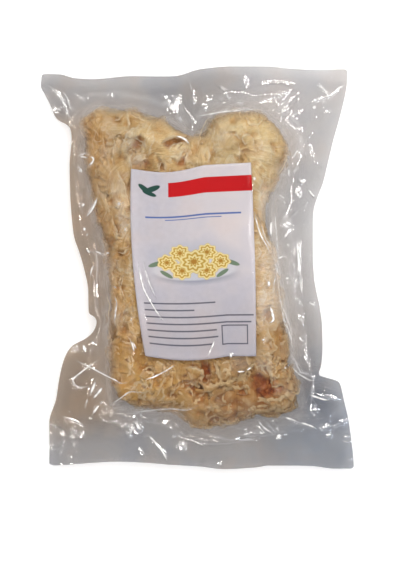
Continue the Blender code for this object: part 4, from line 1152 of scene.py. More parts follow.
# the free edges of the big lobes: (photo pixels, how high the lobe stands over what it hides, how red that is).
# What lies to the right of the line's run is the low side; two-sided ridges have both sides low.
FRILLS = [
    # the lower end
    ([(231, 399), (236, 402), (242, 399), (249, 404), (254, 402)], 1.0, 0.4), ([(224, 413), (231, 408), (239, 412), (248, 409)], 0.9, 0.3),
    ([(204, 404), (210, 408), (217, 405), (221, 408)], 0.9, 0.3), ([(266, 412), (275, 407), (284, 411), (290, 408)], 0.9, 0.3),
    ([(213, 424), (221, 420), (229, 424), (237, 421)], 0.8, 0.2), ([(252, 415), (257, 409), (263, 412)], 0.8, 0.4),
    ([(226, 390), (232, 386), (240, 388), (245, 385)], 0.9, 0.4), ([(286, 398), (291, 392), (298, 394), (300, 388)], 0.8, 0.2),
    ([(252, 394), (257, 399), (264, 400), (270, 404)], 0.9, 0.5), ([(236, 380), (243, 377), (249, 380)], 0.8, 0.3),
    ([(143.5, 128.3), (132.8, 129.8), (129, 134.4), (125.2, 141.3), (122.9, 149), (117.5, 155)], 0.8, 0.1),
    ([(132.8, 139), (137.4, 139.8), (143.5, 143.6), (145, 149.7)], 0.9, 0.3),
    ([(162.6, 144.4), (168, 140.6), (174.1, 138.3), (181.8, 139), (188.7, 143.6)], 1.0, 0.2),
    ([(188.7, 145.2), (181.8, 142.9), (175.7, 144.4), (170.7, 147.4), (170.3, 152.8)], 1.0, 0.2),
    ([(177.2, 165), (178.7, 159.7), (181.8, 152.8), (187.1, 151.3)], 1.0, 0.8),
    ([(190.2, 149), (186.4, 158.2), (184.1, 165.8)], 0.8, 0.8),
    ([(159.5, 172), (160.3, 166.5), (162, 163)], 0.8, 0.9),
    ([(164.5, 163), (165.8, 168), (165.5, 172)], 0.8, 0.9),
    ([(129.7, 129.8), (129, 120.7), (127.4, 113)], 0.8, 0.0),
    ([(129, 113.8), (135.1, 117.6), (143.5, 120.7), (148.9, 123)], 0.7, 0.0),
    ([(114.5, 122), (119, 121), (121.5, 118)], 0.8, 0.0),
    ([(110.6, 172.7), (109, 161), (105, 149), (103, 136)], 0.6, 0.0),
    ([(112.9, 132.9), (116, 145.9), (112.9, 158.2), (114.4, 168.9)], 0.6, 0.1),
    ([(99.9, 147.4), (93.8, 139.8), (99, 129)], 0.5, 0.0),
    ([(133, 171), (130, 160), (133, 152)], 0.6, 0.4),
    ([(148, 160), (150, 150), (155, 141), (154, 133)], 0.5, 0.1),
    # top right
    ([(197.5, 150), (200, 138), (203, 127), (209, 117)], 0.6, 0.1),
    ([(246.8, 112.7), (246, 119), (249.6, 126), (257.4, 126), (262.3, 121), (261.6, 114.8)], 0.75, 0.0),
    ([(250.5, 136.6), (246, 135), (242.2, 138), (242, 142), (245, 145), (249.5, 144)], 0.9, 0.1),
    ([(238.4, 161), (239.2, 152.7), (238.2, 144.3)], 0.5, 0.1),
    ([(204, 163.2), (208.2, 162.5), (209.6, 157.6), (207.5, 147)], 0.8, 0.3),
    ([(233, 135.5), (237, 136), (239.5, 141)], 0.7, 0.1),
    ([(214, 136), (215, 131), (213.5, 127)], 0.6, 0.0),
    ([(240.5, 119), (239.5, 114), (241, 111)], 0.5, 0.0),
    ([(276, 153), (271, 152), (270, 147)], 0.6, 0.0),
    ([(279, 173.8), (283.3, 166.8), (287, 157.6)], 0.4, 0.0),
    ([(258, 150), (266, 152), (275, 156)], 0.35, 0.0),
    # the left strip
    ([(97, 200), (99.5, 193), (97, 183)], 0.5, 0.1),
    ([(103, 222), (107, 212), (106, 200)], 0.7, 0.3),
    ([(110, 222), (109, 210), (106, 198), (109, 190)], 0.8, 0.4),
    ([(127, 190), (122, 180), (117, 171)], 0.7, 0.6),
    ([(129, 203), (126, 192), (124, 183)], 0.7, 0.7),
    ([(119, 240), (117, 230), (113, 221), (113, 214)], 0.8, 0.4),
    ([(127, 238), (125, 229), (122, 224)], 0.6, 0.3),
    ([(104, 245), (104, 236), (101, 231)], 0.5, 0.0),
    ([(118, 252), (125, 253), (129, 249)], 0.8, 0.7),
    ([(113, 284), (112, 272), (115, 260)], 0.7, 0.3),
    ([(125, 300), (121, 288), (124, 275)], 0.7, 0.5),
    ([(108, 318), (110, 306), (107, 296)], 0.6, 0.2),
    ([(122, 334), (118, 322), (121, 310)], 0.7, 0.4),
    ([(108, 350), (112, 341), (109, 330)], 0.6, 0.2),
    # the right strip
    ([(258, 192), (262, 184), (259, 177)], 0.6, 0.2),
    ([(262, 208), (259, 199), (264, 190)], 0.6, 0.2),
    ([(256, 262), (261, 254), (258, 246)], 0.7, 0.3),
    ([(268, 285), (264, 276), (268, 266)], 0.5, 0.1),
    ([(262, 305), (266, 296), (262, 288)], 0.6, 0.2),
    ([(270, 325), (264, 318), (266, 308)], 0.8, 0.4),
    ([(276, 341), (269, 336), (268, 328)], 0.8, 0.4),
    # bottom left
    ([(184.8, 383), (192.5, 383), (198.9, 385.9), (202.4, 378.9), (202.4, 371.1), (191.8, 366.2), (182.7, 366.9)], 1.3, 1.0),
    ([(205, 391.5), (198.9, 396.4), (196, 401.3), (192.5, 404)], 1.2, 0.8),
    ([(170, 399), (172, 392), (178, 387), (180, 379), (176, 370)], 0.55, 0.6),
    ([(158, 395), (160, 386), (165, 378), (163, 370)], 0.5, 0.6),
    ([(137, 395), (144, 392), (151, 389), (153, 381), (149, 376)], 0.55, 0.5),
    ([(126, 378), (131, 370), (130, 361)], 0.45, 0.4),
    ([(115, 385), (120, 377), (118, 367)], 0.6, 0.2),
    ([(122, 398), (129, 394), (134, 386)], 0.45, 0.3),
    ([(160, 401), (168, 402), (177, 400)], 0.5, 0.5),
    ([(143, 370), (150, 366), (158, 369)], 0.5, 0.7),
    ([(186, 392), (189, 386), (191, 391), (193.2, 395)], 0.55, 0.9),
    # bottom right
    ([(214, 362), (217, 370), (219.9, 377), (222, 383.2)], 1.1, 1.0),
    ([(222, 383.2), (236, 377.7), (246.3, 371.9), (255, 361.6)], 1.0, 0.7),
    ([(236, 379.2), (229.5, 381.4), (222, 383.2), (213.3, 384.3), (202.3, 386.5)], 1.2, 1.0),
    ([(195, 400.5), (199.4, 397.5), (203, 391.7), (209.7, 391), (213.3, 396)], 1.1, 0.7),
    ([(223.6, 390), (224.3, 386.5), (228.7, 387.3), (229.5, 394.6), (226.5, 397.5)], 0.9, 0.5),
    ([(249.3, 394.6), (248, 387.3), (245.6, 384.3), (242.7, 378.5), (237.5, 379.2), (236, 384.3)], 1.0, 0.8),
    ([(287.4, 388), (285.9, 394.6), (279.3, 398), (268.3, 398.6), (258, 397.4), (249.3, 394.6)], 1.2, 1.0),
    ([(268.3, 355), (266.9, 364), (269.8, 373), (271.3, 385.8)], 1.1, 0.8),
    ([(271.3, 386.5), (279.3, 384.3), (283.7, 385.8)], 0.9, 0.8),
    ([(271.3, 356.5), (275.7, 361.6), (283, 364.5), (288.9, 362.3)], 0.7, 0.3),
    ([(240, 400), (247, 401), (256, 402)], 0.9, 0.9),
    ([(222, 412), (216, 406), (209, 404), (203, 408)], 0.8, 0.5),
    ([(236, 412), (231, 405), (232, 398)], 0.8, 0.4),
    ([(262, 411), (270, 409), (278, 404)], 0.7, 0.4),
    ([(285, 381), (290, 375), (289, 366)], 0.6, 0.2),
    ([(232, 362), (229, 370), (225, 379)], 0.6, 0.3),
]
FSTEP = 0.5
FXS, FYS = np.arange(-106, 98, FSTEP), np.arange(-142, 138, FSTEP)
FX, FY = np.meshgrid(FXS, FYS)


def make_frills():
    """The listed lobes' free edges as rasters: height, how pale the edge is (its thin rim with a painted highlight
    along the crest), how much painted shade lies beside it on the low side, and how red it is there.
    """
    wx = FX + 1.6 * noise(FX / 7, FY / 7, 0.4, 311) + 0.8 * noise(FX / 2.8, FY / 2.8, 0.4, 312)
    wy = FY + 1.6 * noise(FX / 7, FY / 7, 5.4, 313) + 0.8 * noise(FX / 2.8, FY / 2.8, 5.4, 314)
    height, pale, deep, red = (np.zeros_like(FX) for _ in range(4))
    for points, size, redness in FRILLS:
        line = np.array([photo(*p) for p in points])
        lo, hi = line.min(0) - 13, line.max(0) + 13
        near = (FX > lo[0]) & (FX < hi[0]) & (FY > lo[1]) & (FY < hi[1])
        px, py = wx[near], wy[near]
        steps = np.sqrt(((line[1:] - line[:-1]) ** 2).sum(1))
        total, done = steps.sum(), 0.0
        best, at, side = np.full(px.shape, 1e9), np.zeros(px.shape), np.ones(px.shape)
        for (ax, ay), (bx, by), long in zip(line[:-1], line[1:], steps):
            ex, ey = bx - ax, by - ay
            t = np.clip(((px - ax) * ex + (py - ay) * ey) / (long * long), 0, 1)
            d = np.hypot(ax + t * ex - px, ay + t * ey - py)
            take = d < best
            best = np.where(take, d, best)
            at = np.where(take, (done + t * long) / total, at)
            side = np.where(take, np.where(ex * (py - ay) - ey * (px - ax) < 0, 1.0, -1.0), side)
            done += long
        ends = smoothstep(0, 0.22, at) * smoothstep(1, 0.78, at)
        fade = size * (0.15 + 0.85 * ends) * np.clip(0.85 + 0.5 * noise(px / 5, py / 5, 0.2, 315), 0.3, 1.3)
        off = best * side  # more than 0 on the low side
        low = smoothstep(-0.35, 0.7, off)
        shape = (1 - low) * 1.5 * np.exp(-best / 4.5) - low * 3.6 * np.exp(-best / 2.6)
        height[near] += fade * shape
        pale[near] = np.maximum(pale[near], fade * np.exp(-(((off + 0.35) / 0.85) ** 2)))
        deep[near] = np.maximum(deep[near], fade * low * np.exp(-best / 2.4))
        red[near] = np.maximum(red[near], redness * low * np.exp(-best / 4.0))
    return np.clip(height, -6, 3), np.clip(pale, 0, 1), np.clip(deep * 1.15, 0, 1), red


def look_fine(field, x, y):
    fx = np.clip((x - FXS[0]) / FSTEP, 0, len(FXS) - 1.001)
    fy = np.clip((y - FYS[0]) / FSTEP, 0, len(FYS) - 1.001)
    i, j = fx.astype(int), fy.astype(int)
    u, v = fx - i, fy - j
    return (
        field[j, i] * (1 - u) * (1 - v) + field[j, i + 1] * u * (1 - v)
        + field[j + 1, i] * (1 - u) * v + field[j + 1, i + 1] * u * v
    )


FRILL_HEIGHT, FRILL_PALE_RIM_AND_HIGHLIGHT, FRILL_PAINTED_SHADE, FRILL_RED = make_frills()


def rim_lines():
    """The lobes' thin free edges as lines in mm, with how big each is: the listed ones and small curled ones between them."""
    rng = np.random.default_rng(88)
    lines = [(np.array([photo(*p) for p in points]), size) for points, size, redness in FRILLS]
    for k in range(560):
        x, y = rng.uniform(-100, 90), rng.uniform(-134, 128 if k < 420 else -64)
        heading, turn = rng.uniform(0, 6.28), rng.normal(0, 0.24)
        steps, size = int(rng.integers(4, 11)), rng.uniform(0.35, 0.95)
        skip = rng.uniform() < (0.0 if y < -60 else 0.62)
        spot = [(x, y)]
        for _ in range(steps):
            heading += turn + rng.normal(0, 0.22)
            x, y = x + 1.3 * math.cos(heading), y + 1.3 * math.sin(heading)
            spot.append((x, y))
        spot = np.array(spot)
        if skip or (outline_distance(spot[:, 0], spot[:, 1], LABEL_CORNERS) > -1.5).any():
            continue
        if (look_up(FRONDS, spot[:, 0], spot[:, 1]) < 2.5).any():
            continue
        if any(redness > 0.75 and np.hypot(*(spot - photo(*at)).T).min() < 1.2 * radius for at, radius, _, _, _, redness in HOLLOWS):
            continue
        lines.append((spot, size * (1.0 if spot[0, 1] < -60 else 0.6)))
    return lines


RIMS = rim_lines()


def rim_strip(line, size, k):
    """One free edge as a narrow ruffled strip: points, how high each stands, quads and how pale each is: a pale thin
    edge, painted lightest along its crest as a painted highlight.
    """
    at = np.concatenate([[0], np.cumsum(np.sqrt((np.diff(line, axis=0) ** 2).sum(1)))])
    n = max(5, round(at[-1] / 0.75))
    t = np.linspace(0, at[-1], n + 1)
    curve = np.stack([np.interp(t, at, line[:, 0]), np.interp(t, at, line[:, 1])], -1)
    for _ in range(4):
        curve[1:-1] = (curve[:-2] + 2 * curve[1:-1] + curve[2:]) / 4
    ahead = np.gradient(curve, axis=0)
    ahead = ahead / np.maximum(np.hypot(*ahead.T), 1e-6)[:, None]
    s = t / at[-1]
    ends = smoothstep(0, 0.3, s) * smoothstep(1, 0.7, s)
    wavy = 1.9 if size > 0.7 and line[:, 1].mean() < -60 else 1.0
    sway = wavy * (0.9 * noise(t / 3.1, k * 5.1, 0.2, 331) + 0.5 * noise(t / 1.5, k * 5.1, 0.9, 332))
    low_end = line[:, 1].mean() < -60
    wide = (0.30 + 0.28 * min(size, 1.0)) * (2.1 if low_end else 1.0) * (0.35 + 0.65 * ends) * np.clip(1 + 0.7 * noise(t / 2.3, k * 3.7, 0.4, 333), 0.5, 1.6)
    rows, lifts, pale = [], [], []
    for off, lift, light in ((-1.0, -0.45, 0.55), (0.0, 0.35, 1.0), (1.0, -0.15, 0.75)):
        shift = sway + off * wide
        rows.append(np.stack([curve[:, 0] + ahead[:, 1] * shift, curve[:, 1] - ahead[:, 0] * shift], -1))
        lifts.append(lift + 0.5 * size * ends + 0.35 * noise(t / 2.0, k * 2.3, 0.6, 334))
        pale.append(np.full(n + 1, light) * (0.45 + 0.55 * min(size, 1.0)) * (0.4 + 0.6 * ends) * (0.62 if low_end else 1.0))
    return np.concatenate(rows), np.concatenate(lifts), grid_faces(n, 2), np.concatenate(pale)


def make_pits():
    """The listed hollows and small seeded ones, as depth and redness rasters."""
    rng = np.random.default_rng(77)
    listed = [(*photo(*at), r, k, turn, deep, red) for at, r, k, turn, deep, red in HOLLOWS]
    for _ in range(270):
        x, y = rng.uniform(-100, 92), rng.uniform(-132, 130)
        low = smoothstep(-40, -110, y)
        # slits run out from the middle of the lump they are in
        ox, oy = (-40 if x < -2 else 38), (95 if y > 40 else (5 if y > -40 else -90))
        turn = math.atan2(y - oy, x - ox) + rng.normal(0, 0.5)
        listed.append((
            x, y, rng.uniform(0.8, 1.7) + 0.8 * low, rng.uniform(2.0, 5.0), turn,
            rng.uniform(0.8, 2.2) + 2.2 * low, 0.15 + 0.7 * low * rng.uniform(0, 1),
        ))
    wx = GX + 3.0 * noise(GX / 6, GY / 6, 0.4, 301) + 2.4 * noise(GX / 2.7, GY / 2.7, 0.4, 302)
    wy = GY + 3.0 * noise(GX / 6, GY / 6, 5.4, 303) + 2.4 * noise(GX / 2.7, GY / 2.7, 5.4, 304)
    uneven = np.clip(0.85 + 0.6 * noise(GX / 3.5, GY / 3.5, 0.4, 305), 0.3, 1.3)
    depth, red = np.zeros_like(GX), np.zeros_like(GX)
    for x, y, r, k, turn, deep, redness in listed:
        c, sn = math.cos(turn), math.sin(turn)
        dx, dy = wx - x, wy - y
        a, b = (dx * c + dy * sn) / (r * math.sqrt(k)), (dy * c - dx * sn) / (r / math.sqrt(k))
        fall = smoothstep(1.45, 0.55, np.hypot(a, b))
        depth = np.maximum(depth, deep * fall * uneven)
        red = np.maximum(red, redness * smoothstep(1.9, 0.6, np.hypot(a, b)))
    return depth, red


PITS, REDNESS = make_pits()


def head_folds(x, y, heart, seed):
    """The folds a head's leaves share, so that they lie over each other as sheets: long ones out from its heart."""
    wx = x + 5 * noise(x / 26, y / 26, 0.3, seed + 1)
    wy = y + 5 * noise(x / 26, y / 26, 4.3, seed + 1)
    r = np.hypot(wx - heart[0], wy - heart[1]) + 8
    turn = np.arctan2(wy - heart[1], wx - heart[0])
    around = 9 * np.log(r) + 0.0
    c, sn = np.cos(turn), np.sin(turn)
    long = noise(c * 3.1 + 5.2, sn * 3.1, around / 7.0, seed + 2)
    mid = noise(c * 6.5 + 2.2, sn * 6.5, around / 4.2, seed + 3)
    broad = noise(wx / 19, wy / 19, 0.7, seed + 4)
    small = noise(wx / 7.5, wy / 7.5, 1.7, seed + 5)
    tiny = noise(wx / 3.6, wy / 3.6, 2.7, seed + 6)
    where = smoothstep(-0.1, 0.35, noise(wx / 15, wy / 15, 3.7, seed + 7))
    seams = 1.7 * np.exp(-((long / 0.15) ** 2)) * where + 0.9 * np.exp(-((mid / 0.22) ** 2)) * (1 - 0.5 * where)
    calm = 0.45 + 0.55 * smoothstep(-62, -40, y)
    return 2.5 * broad + (2.3 - 0.5 * calm) * long + (1.4 - 0.6 * calm) * mid + (0.8 - 0.35 * calm) * small + 0.35 * tiny - (1 - 0.3 * calm) * seams - 0.5


def fan(rng, at, heading, spread, radius, top, sink, rise, frill, curl, nu, nv, seed, ground=None, taper=0.20):
    """One leaf of the fungus as a grid of points: a sheet that rises from inside and opens under the film.

    Returns its points, its own coordinates in mm (round it, out from its foot) and how far out each point is."""
    t, s = np.meshgrid(np.linspace(-1, 1, nu + 1), np.linspace(0, 1, nv + 1) ** 0.85)
    rim = 1 - taper * np.abs(t) ** 3 + 0.24 * noise(t * 1.4 + seed, 0.5, 0.1, 11)
    rim = rim + 0.20 * noise(t * 3.6 + seed, 2.5, 0.1, 12) + 0.10 * noise(t * 11 + seed, 6.5, 0.2, 19)
    r = 1.5 + s * radius * rim
    theta = heading + t * spread * (0.6 + 0.4 * s) + rng.normal(0, 0.35) * s + 0.20 * noise(s * 2.5, t * 1.2 + seed, 0.9, 20)
    arc = 2 * spread * radius
    edge = smoothstep(0.62, 1.0, s)
    turns = arc / (rng.uniform(5.0, 8.5) * (1 + 0.5 * (frill > 2))) * math.pi
    phase = turns * t + 2.4 * noise(s * 1.2 + seed, t * 2.6, 0.3, 14)
    size = 0.4 + 0.9 * np.clip(0.5 + noise(t * 1.7 + seed, 4.5, 0.3, 16), 0, 1)
    lift = frill * size * edge * np.sin(phase)
    aside = -0.75 * frill * size * edge * np.sin(2 * phase)
    soft = 1.1 * noise(t * arc / 15 + seed, s * radius / 17, 0.6, 15) * smoothstep(0.1, 0.7, s)
    x = at[0] + np.cos(theta) * r - np.sin(theta) * aside
    y = at[1] + np.sin(theta) * r + np.cos(theta) * aside
    tip = curl * smoothstep(0.66, 1.0, s) ** 1.5 * (1 + 0.8 * noise(t * 2.0 + seed, 8.5, 0, 23))
    z = top - sink * np.exp(-((r / rise) ** 1.5)) + lift + soft - tip
    if ground is not None:
        z = z + look_up(FRONT, x, y) + ground(x, y)
    back = 0.35 * tip
    x, y = x - np.cos(theta) * back, y - np.sin(theta) * back
    own = np.stack([theta * (r + 4) * 0.8 + seed, r + seed * 3.1], -1)
    return np.stack([x, y, z], -1).reshape(-1, 3), own.reshape(-1, 2), s.ravel()


def soft_stop(gap, keep):
    """Keeps a gap above 0: what would pass is pressed into the last keep millimetres."""
    return np.where(gap > keep, gap, keep * np.exp((np.minimum(gap, keep) - keep) / keep))


def press(points, bulge, label_gap):
    """Fits points into the pouch: in from its sides, under the front film and over the back film."""
    x, y, z = points.T.copy()
    lobes = (3.0 * noise(x / 9, y / 9, z / 9, 26) + 1.7 * noise(x / 3.6, y / 3.6, z / 5, 27)) * (1.12 + 0.45 * smoothstep(-85, -108, y))
    for _ in range(4):
        d = look_up(FRONDS, x, y) + np.clip(bulge, -6.5, 5.0) + lobes
        gx, gy = look_up(FRONDS_DX, x, y), look_up(FRONDS_DY, x, y)
        norm = np.maximum(np.hypot(gx, gy), 0.5)
        move = soft_stop(d, 2.2) - d
        x, y = x + gx / norm * move, y + gy / norm * move
    top = look_up(FRONT, x, y) - 0.45 - label_gap * label_cover(x, y)
    bottom = look_up(BACK, x, y) + 0.35
    room = np.maximum(top - bottom, 0.6)
    keep = np.minimum(3.4, room * 0.35)
    z = top - soft_stop(top - z, keep)
    z = bottom + soft_stop(z - bottom, np.minimum(1.6, room * 0.3))
    return x, y, np.clip(z, bottom, top), top, bottom


def fine_wrinkles(own, x, y):
    """Papery creases: long ones out along a frond, and a faint crumple across it."""
    a, b = own.T
    n1 = noise(a / 4.4 + 0.8 * noise(b / 9, a / 9, 0, 31), b / 21, 0, 32)
    n2 = noise(a / 2.4, b / 13, 0, 33)
    n3 = noise(x / 3.8, y / 3.8, 0.2, 34)
    return (
        0.75 * np.sqrt(n1 * n1 + 0.006) + 0.36 * np.sqrt(n2 * n2 + 0.008)
        + 0.34 * np.sqrt(n3 * n3 + 0.01)
    )


def build_head(name, cell, heart, seed, mean, ruffle, layers, material):
    cx, cy, hx, hy = cell
    rng = np.random.default_rng(seed)
    k = 1.0
    made, bulges, tones, faces, count = [], [], [], [], 0

    def add(fan_made, nu, nv, tone, bulge):
        nonlocal count
        made.append(fan_made)
        bulges.append(np.full(len(fan_made[0]), bulge))
        tones.append(np.full(len(fan_made[0]), tone))
        faces.append(grid_faces(nu, nv, count))
        count += len(fan_made[0])

    # the top: leaves rising from inside and opening under the film, each lying over some and under others
    def ground(x, y):
        return head_folds(x, y, heart, seed)

    pitch = mean * (0.52 if cy > -40 else 0.60)
    spots = []
    for i, gy in enumerate(np.arange(cy - hy, cy + hy + pitch, pitch * 0.87)):
        for gx in np.arange(cx - hx - pitch, cx + hx + pitch, pitch):
            x = gx + (i % 2) * pitch / 2 + rng.normal(0, pitch * 0.24)
            y = gy + rng.normal(0, pitch * 0.24)
            if abs(x - cx) > hx or abs(y - cy) > hy or look_up(DIST, np.array([x]), np.array([y]))[0] < 5:
                continue
            spots.append((x, y))
    order = rng.permutation(len(spots))
    for rank, (x, y) in zip(order, spots):
        heading = math.atan2(y - heart[1], x - heart[0]) + rng.normal(0, 0.7)
        radius = mean * rng.uniform(0.65, 1.25)
        spread = rng.uniform(0.75, 1.55)
        layer = -layers * (rank + 0.5) / len(spots) - 0.2
        foot = (x - math.cos(heading) * radius * 0.5, y - math.sin(heading) * radius * 0.5)
        arc = 2 * spread * radius
        hidden = outline_distance(np.array([x]), np.array([y]), LABEL_CORNERS)[0] > 14
        fine = (0.40 if hidden else 0.93) * k
        nu, nv = max(8, round(min(arc / 0.95, 76) * fine)), max(6, round(radius / 1.0 * fine))
        add(
            fan(rng, foot, heading, spread, radius, layer, rng.uniform(9, 15), rng.uniform(4, 7), ruffle * rng.uniform(0.5, 1.3),
                rng.choice([-1.2, 0.8, 3.0], p=[0.3, 0.4, 0.3]) * (1.0 if cy < -40 else 0.55), nu, nv, rng.uniform(0, 900), ground),
            nu, nv, rng.beta(1.5, 3.2), rng.uniform(-2.6, 2.4),
        )
    # the sides: fans whose feet are inside and whose rims turn up or down the wall
    edge = np.array(CONTENTS_OUTLINE, float)
    for a, b in zip(edge, np.roll(edge, -1, axis=0)):
        span = np.hypot(*(b - a))
        steps = max(1, round(span / 11))
        for j in range(steps):
            p = a + (b - a) * (j + rng.uniform(0.2, 0.8)) / steps
            if abs(p[0] - cx) > hx + 3 or abs(p[1] - cy) > hy + 3:
                continue
            out = np.array([b[1] - a[1], a[0] - b[0]]) / span
            if look_up(DIST, np.array([p[0] + out[0] * 4]), np.array([p[1] + out[1] * 4]))[0] > 0:
                out = -out
            for level in (0.3, 0.7):
                heading = math.atan2(out[1], out[0]) + rng.normal(0, 0.35)
                radius, spread = rng.uniform(17, 24), rng.uniform(0.6, 1.0)
                foot = p - np.array([math.cos(heading), math.sin(heading)]) * (radius - rng.uniform(-2, 4.5))
                z = 15 + (level - 0.5) * 24 + rng.normal(0, 2)
                nu, nv = round(26 * k), round(18 * k)
                points, own, s = fan(
                    rng, foot, heading, spread, radius, z, 0, 5, rng.uniform(1.2, 2.4), rng.uniform(-6, 4), nu, nv, rng.uniform(0, 900), taper=0.5)
                points[:, 2] += (1 - s) * (21 - z) * 0.7
                add((points, own, s), nu, nv, rng.beta(1.5, 3.2), rng.uniform(-5.5, 5.0))
    # the underside, pressed flat on the back film
    for gy in np.arange(cy - hy + 9, cy + hy, 20):
        for gx in np.arange(cx - hx + 9, cx + hx, 20):
            x, y = gx + rng.normal(0, 3), gy + rng.normal(0, 3)
            if look_up(DIST, np.array([x]), np.array([y]))[0] < 6:
                continue
            heading = rng.uniform(0, 6.28)
            nu, nv = round(22 * k), round(13 * k)
            points, own, s = fan(rng, (x - 9 * math.cos(heading), y - 9 * math.sin(heading)), heading, 1.2, 22, 2, -12, 7, 1.6, 0, nu, nv, rng.uniform(0, 900))
            add((points, own, s), nu, nv, rng.beta(1.5, 3.2), 0.0)

    own, rim = np.concatenate([m[1] for m in made]), np.concatenate([m[2] for m in made])
    x, y, z, top, bottom = press(np.concatenate([m[0] for m in made]), np.concatenate(bulges), 0.75)
    upper = smoothstep(10, 4, top - z)
    pit = look_up(PITS, x, y) * upper * (1 - 0.75 * label_cover(x, y))
    lumpy = smoothstep(0, 12, x) * smoothstep(30, 45, y)
    z = z - pit - fine_wrinkles(own, x, y) * np.where(z - bottom > 3, 1, 0.3) * (1 - 0.45 * lumpy)
    z = z - 0.9 * lumpy * upper * np.sqrt(noise(x / 5.2, y / 5.2, z / 9, 341) ** 2 + 0.004)
    shown = upper * (1 - 0.9 * label_cover(x, y))
    z = np.clip(z + look_fine(FRILL_HEIGHT, x, y) * shown, bottom, top)

    # the solid middle that the fronds grow from
    lat, lon = round(56 * k), round(88 * k)
    v, u = np.meshgrid(np.linspace(0.02, math.pi - 0.02, lat + 1), np.linspace(0, 2 * math.pi, lon + 1), indexing="ij")
    n = np.stack([np.sin(v) * np.cos(u), np.sin(v) * np.sin(u), np.cos(v)], -1)
    square = n / (np.abs(n) ** 4).sum(-1, keepdims=True) ** 0.25
    kx, ky = cx + (hx - 4) * square[..., 0], cy + (hy - 3) * square[..., 1]
    for _ in range(14):
        short = np.clip(9 - look_up(DIST, kx, ky), 0, None)
        kx, ky = kx + look_up(DIST_DX, kx, ky) * short * 0.5, ky + look_up(DIST_DY, kx, ky) * short * 0.5
    fold = 1 - 2.2 * np.sqrt(noise(kx / 7, ky / 7, square[..., 2] * 1.5 + seed, 24) ** 2 + 0.004)
    fold = fold + 0.5 * (1 - 2.2 * np.sqrt(noise(kx / 3.4, ky / 3.4, square[..., 2] * 3 + seed, 25) ** 2 + 0.004))
    high = look_up(FRONT, kx, ky) - 8.5 - 1.35 * look_up(PITS, kx, ky)
    low = look_up(BACK, kx, ky) + 4
    kz = low + (high - low) * (0.5 + 0.5 * square[..., 2]) + 2.2 * fold * np.clip(square[..., 2] * 2, -0.4, 1)
    faces.append(grid_faces(lon, lat, count))
    x, y, z = np.append(x, kx), np.append(y, ky), np.append(z, kz)
    own = np.concatenate([own, np.stack([kx, ky], -1).reshape(-1, 2)])
    rim = np.append(rim, np.full(kx.size, 0.3))
    tone = np.append(np.concatenate(tones), np.full(kx.size, 0.4))

    # how far each point lies below its neighbourhood's tops, which is how brown it is: the fungus's browner inside, and
    # painted shade in its hollows and under the lobes' edges
    top = look_up(FRONT, x, y) - 0.45
    j, i = np.rint((y - RY[0]) / STEP).astype(int), np.rint((x - RX[0]) / STEP).astype(int)
    crest = np.zeros_like(GX)
    np.maximum.at(crest, (j, i), np.where(z > look_up(BACK, x, y) + 6, z, 0))
    known = (crest > 0).astype(float)
    around = blur(crest, 5) / np.maximum(blur(known, 5), 0.05)
    around = np.where(blur(known, 5) > 0.02, around, FRONT)
    low_end = smoothstep(-45, -105, y)
    local = np.clip((look_up(around, x, y) - z) / (5.2 - 2.4 * low_end), 0, 1)
    total = np.clip((top - z - 1.6) / 9.0, 0, 1)
    side = smoothstep(9, 0, look_up(FRONDS, x, y))
    deep = np.maximum(np.maximum(local, total) * (1 - 0.75 * side) + 0.12 * side, look_fine(FRILL_PAINTED_SHADE, x, y))
    deep = np.maximum(deep, np.clip(look_up(PITS, x, y) / 6.5, 0, 1) * smoothstep(16, 11, top - z))
    # depth brings in the hollow colours with painted shade, frill paints pale rims with a painted highlight, and thin
    # lifts the shaded sides with painted light
    attributes = {
        "depth": np.clip(deep, 0, 1), "frill": look_fine(FRILL_PALE_RIM_AND_HIGHLIGHT, x, y) * smoothstep(9, 4, top - z),
        "rim": rim, "tone": tone,
        "red": np.maximum(np.maximum(look_up(REDNESS, x, y), 0.5 * low_end), look_fine(FRILL_RED, x, y)),
        "thin": smoothstep(9.5, -1.5, look_up(FRONDS, x, y)) * (0.66 + 0.26 * smoothstep(0.4, 1.0, rim)),
    }
    points = np.stack([x, y, z], -1)
    for k_rim, (line, size) in enumerate(RIMS):
        mid = line.mean(0)
        if abs(mid[0] - cx) > hx or abs(mid[1] - cy) > hy:
            continue
        spots, lifts, quads, pale = rim_strip(line, size, k_rim)
        height = np.minimum(look_up(around, *spots.T) + 0.15 + lifts, look_up(FRONT, *spots.T) - 0.30)
        faces.append(quads + len(points))
        points = np.concatenate([points, np.column_stack([spots, height])])
        own = np.concatenate([own, spots])
        extra = {
            "depth": 0.15 * (1 - pale), "frill": pale, "rim": np.ones(len(spots)), "tone": np.zeros(len(spots)), "red": np.zeros(len(spots)),
            "thin": 0.5 * smoothstep(8.0, -2.0, look_up(FRONDS, *spots.T)),
        }
        attributes = {key: np.concatenate([values, extra[key]]) for key, values in attributes.items()}
    return mesh_object(name, points, np.concatenate(faces), uv=own, attributes=attributes, material=material)


# ---- label -----------------------------------------------------------------------
def label_plan(u, v):
    """The label's sheet in plan, its edges bowed as it lies round the contents."""
    bl, br, tr, tl = (np.array(c) for c in LABEL_CORNERS)
    out = []
    left_mid, right_mid = (-4.4, 1.2)
    for k in (0, 1):
        at = (bl[k] * (1 - u) + br[k] * u) * (1 - v) + (tl[k] * (1 - u) + tr[k] * u) * v
        out.append(at)
    bow = 4 * v * (1 - v)
    out[0] = out[0] + bow * ((1 - u) * left_mid + u * right_mid)
    out[1] = out[1] - 4.2 * v**3 * np.sin(math.pi * np.clip(u / 0.62, 0, 1)) ** 1.2
    out[1] = out[1] - 3.6 * (1 - v) ** 3 * np.sin(math.pi * np.clip(u / 0.75, 0, 1))
    return out


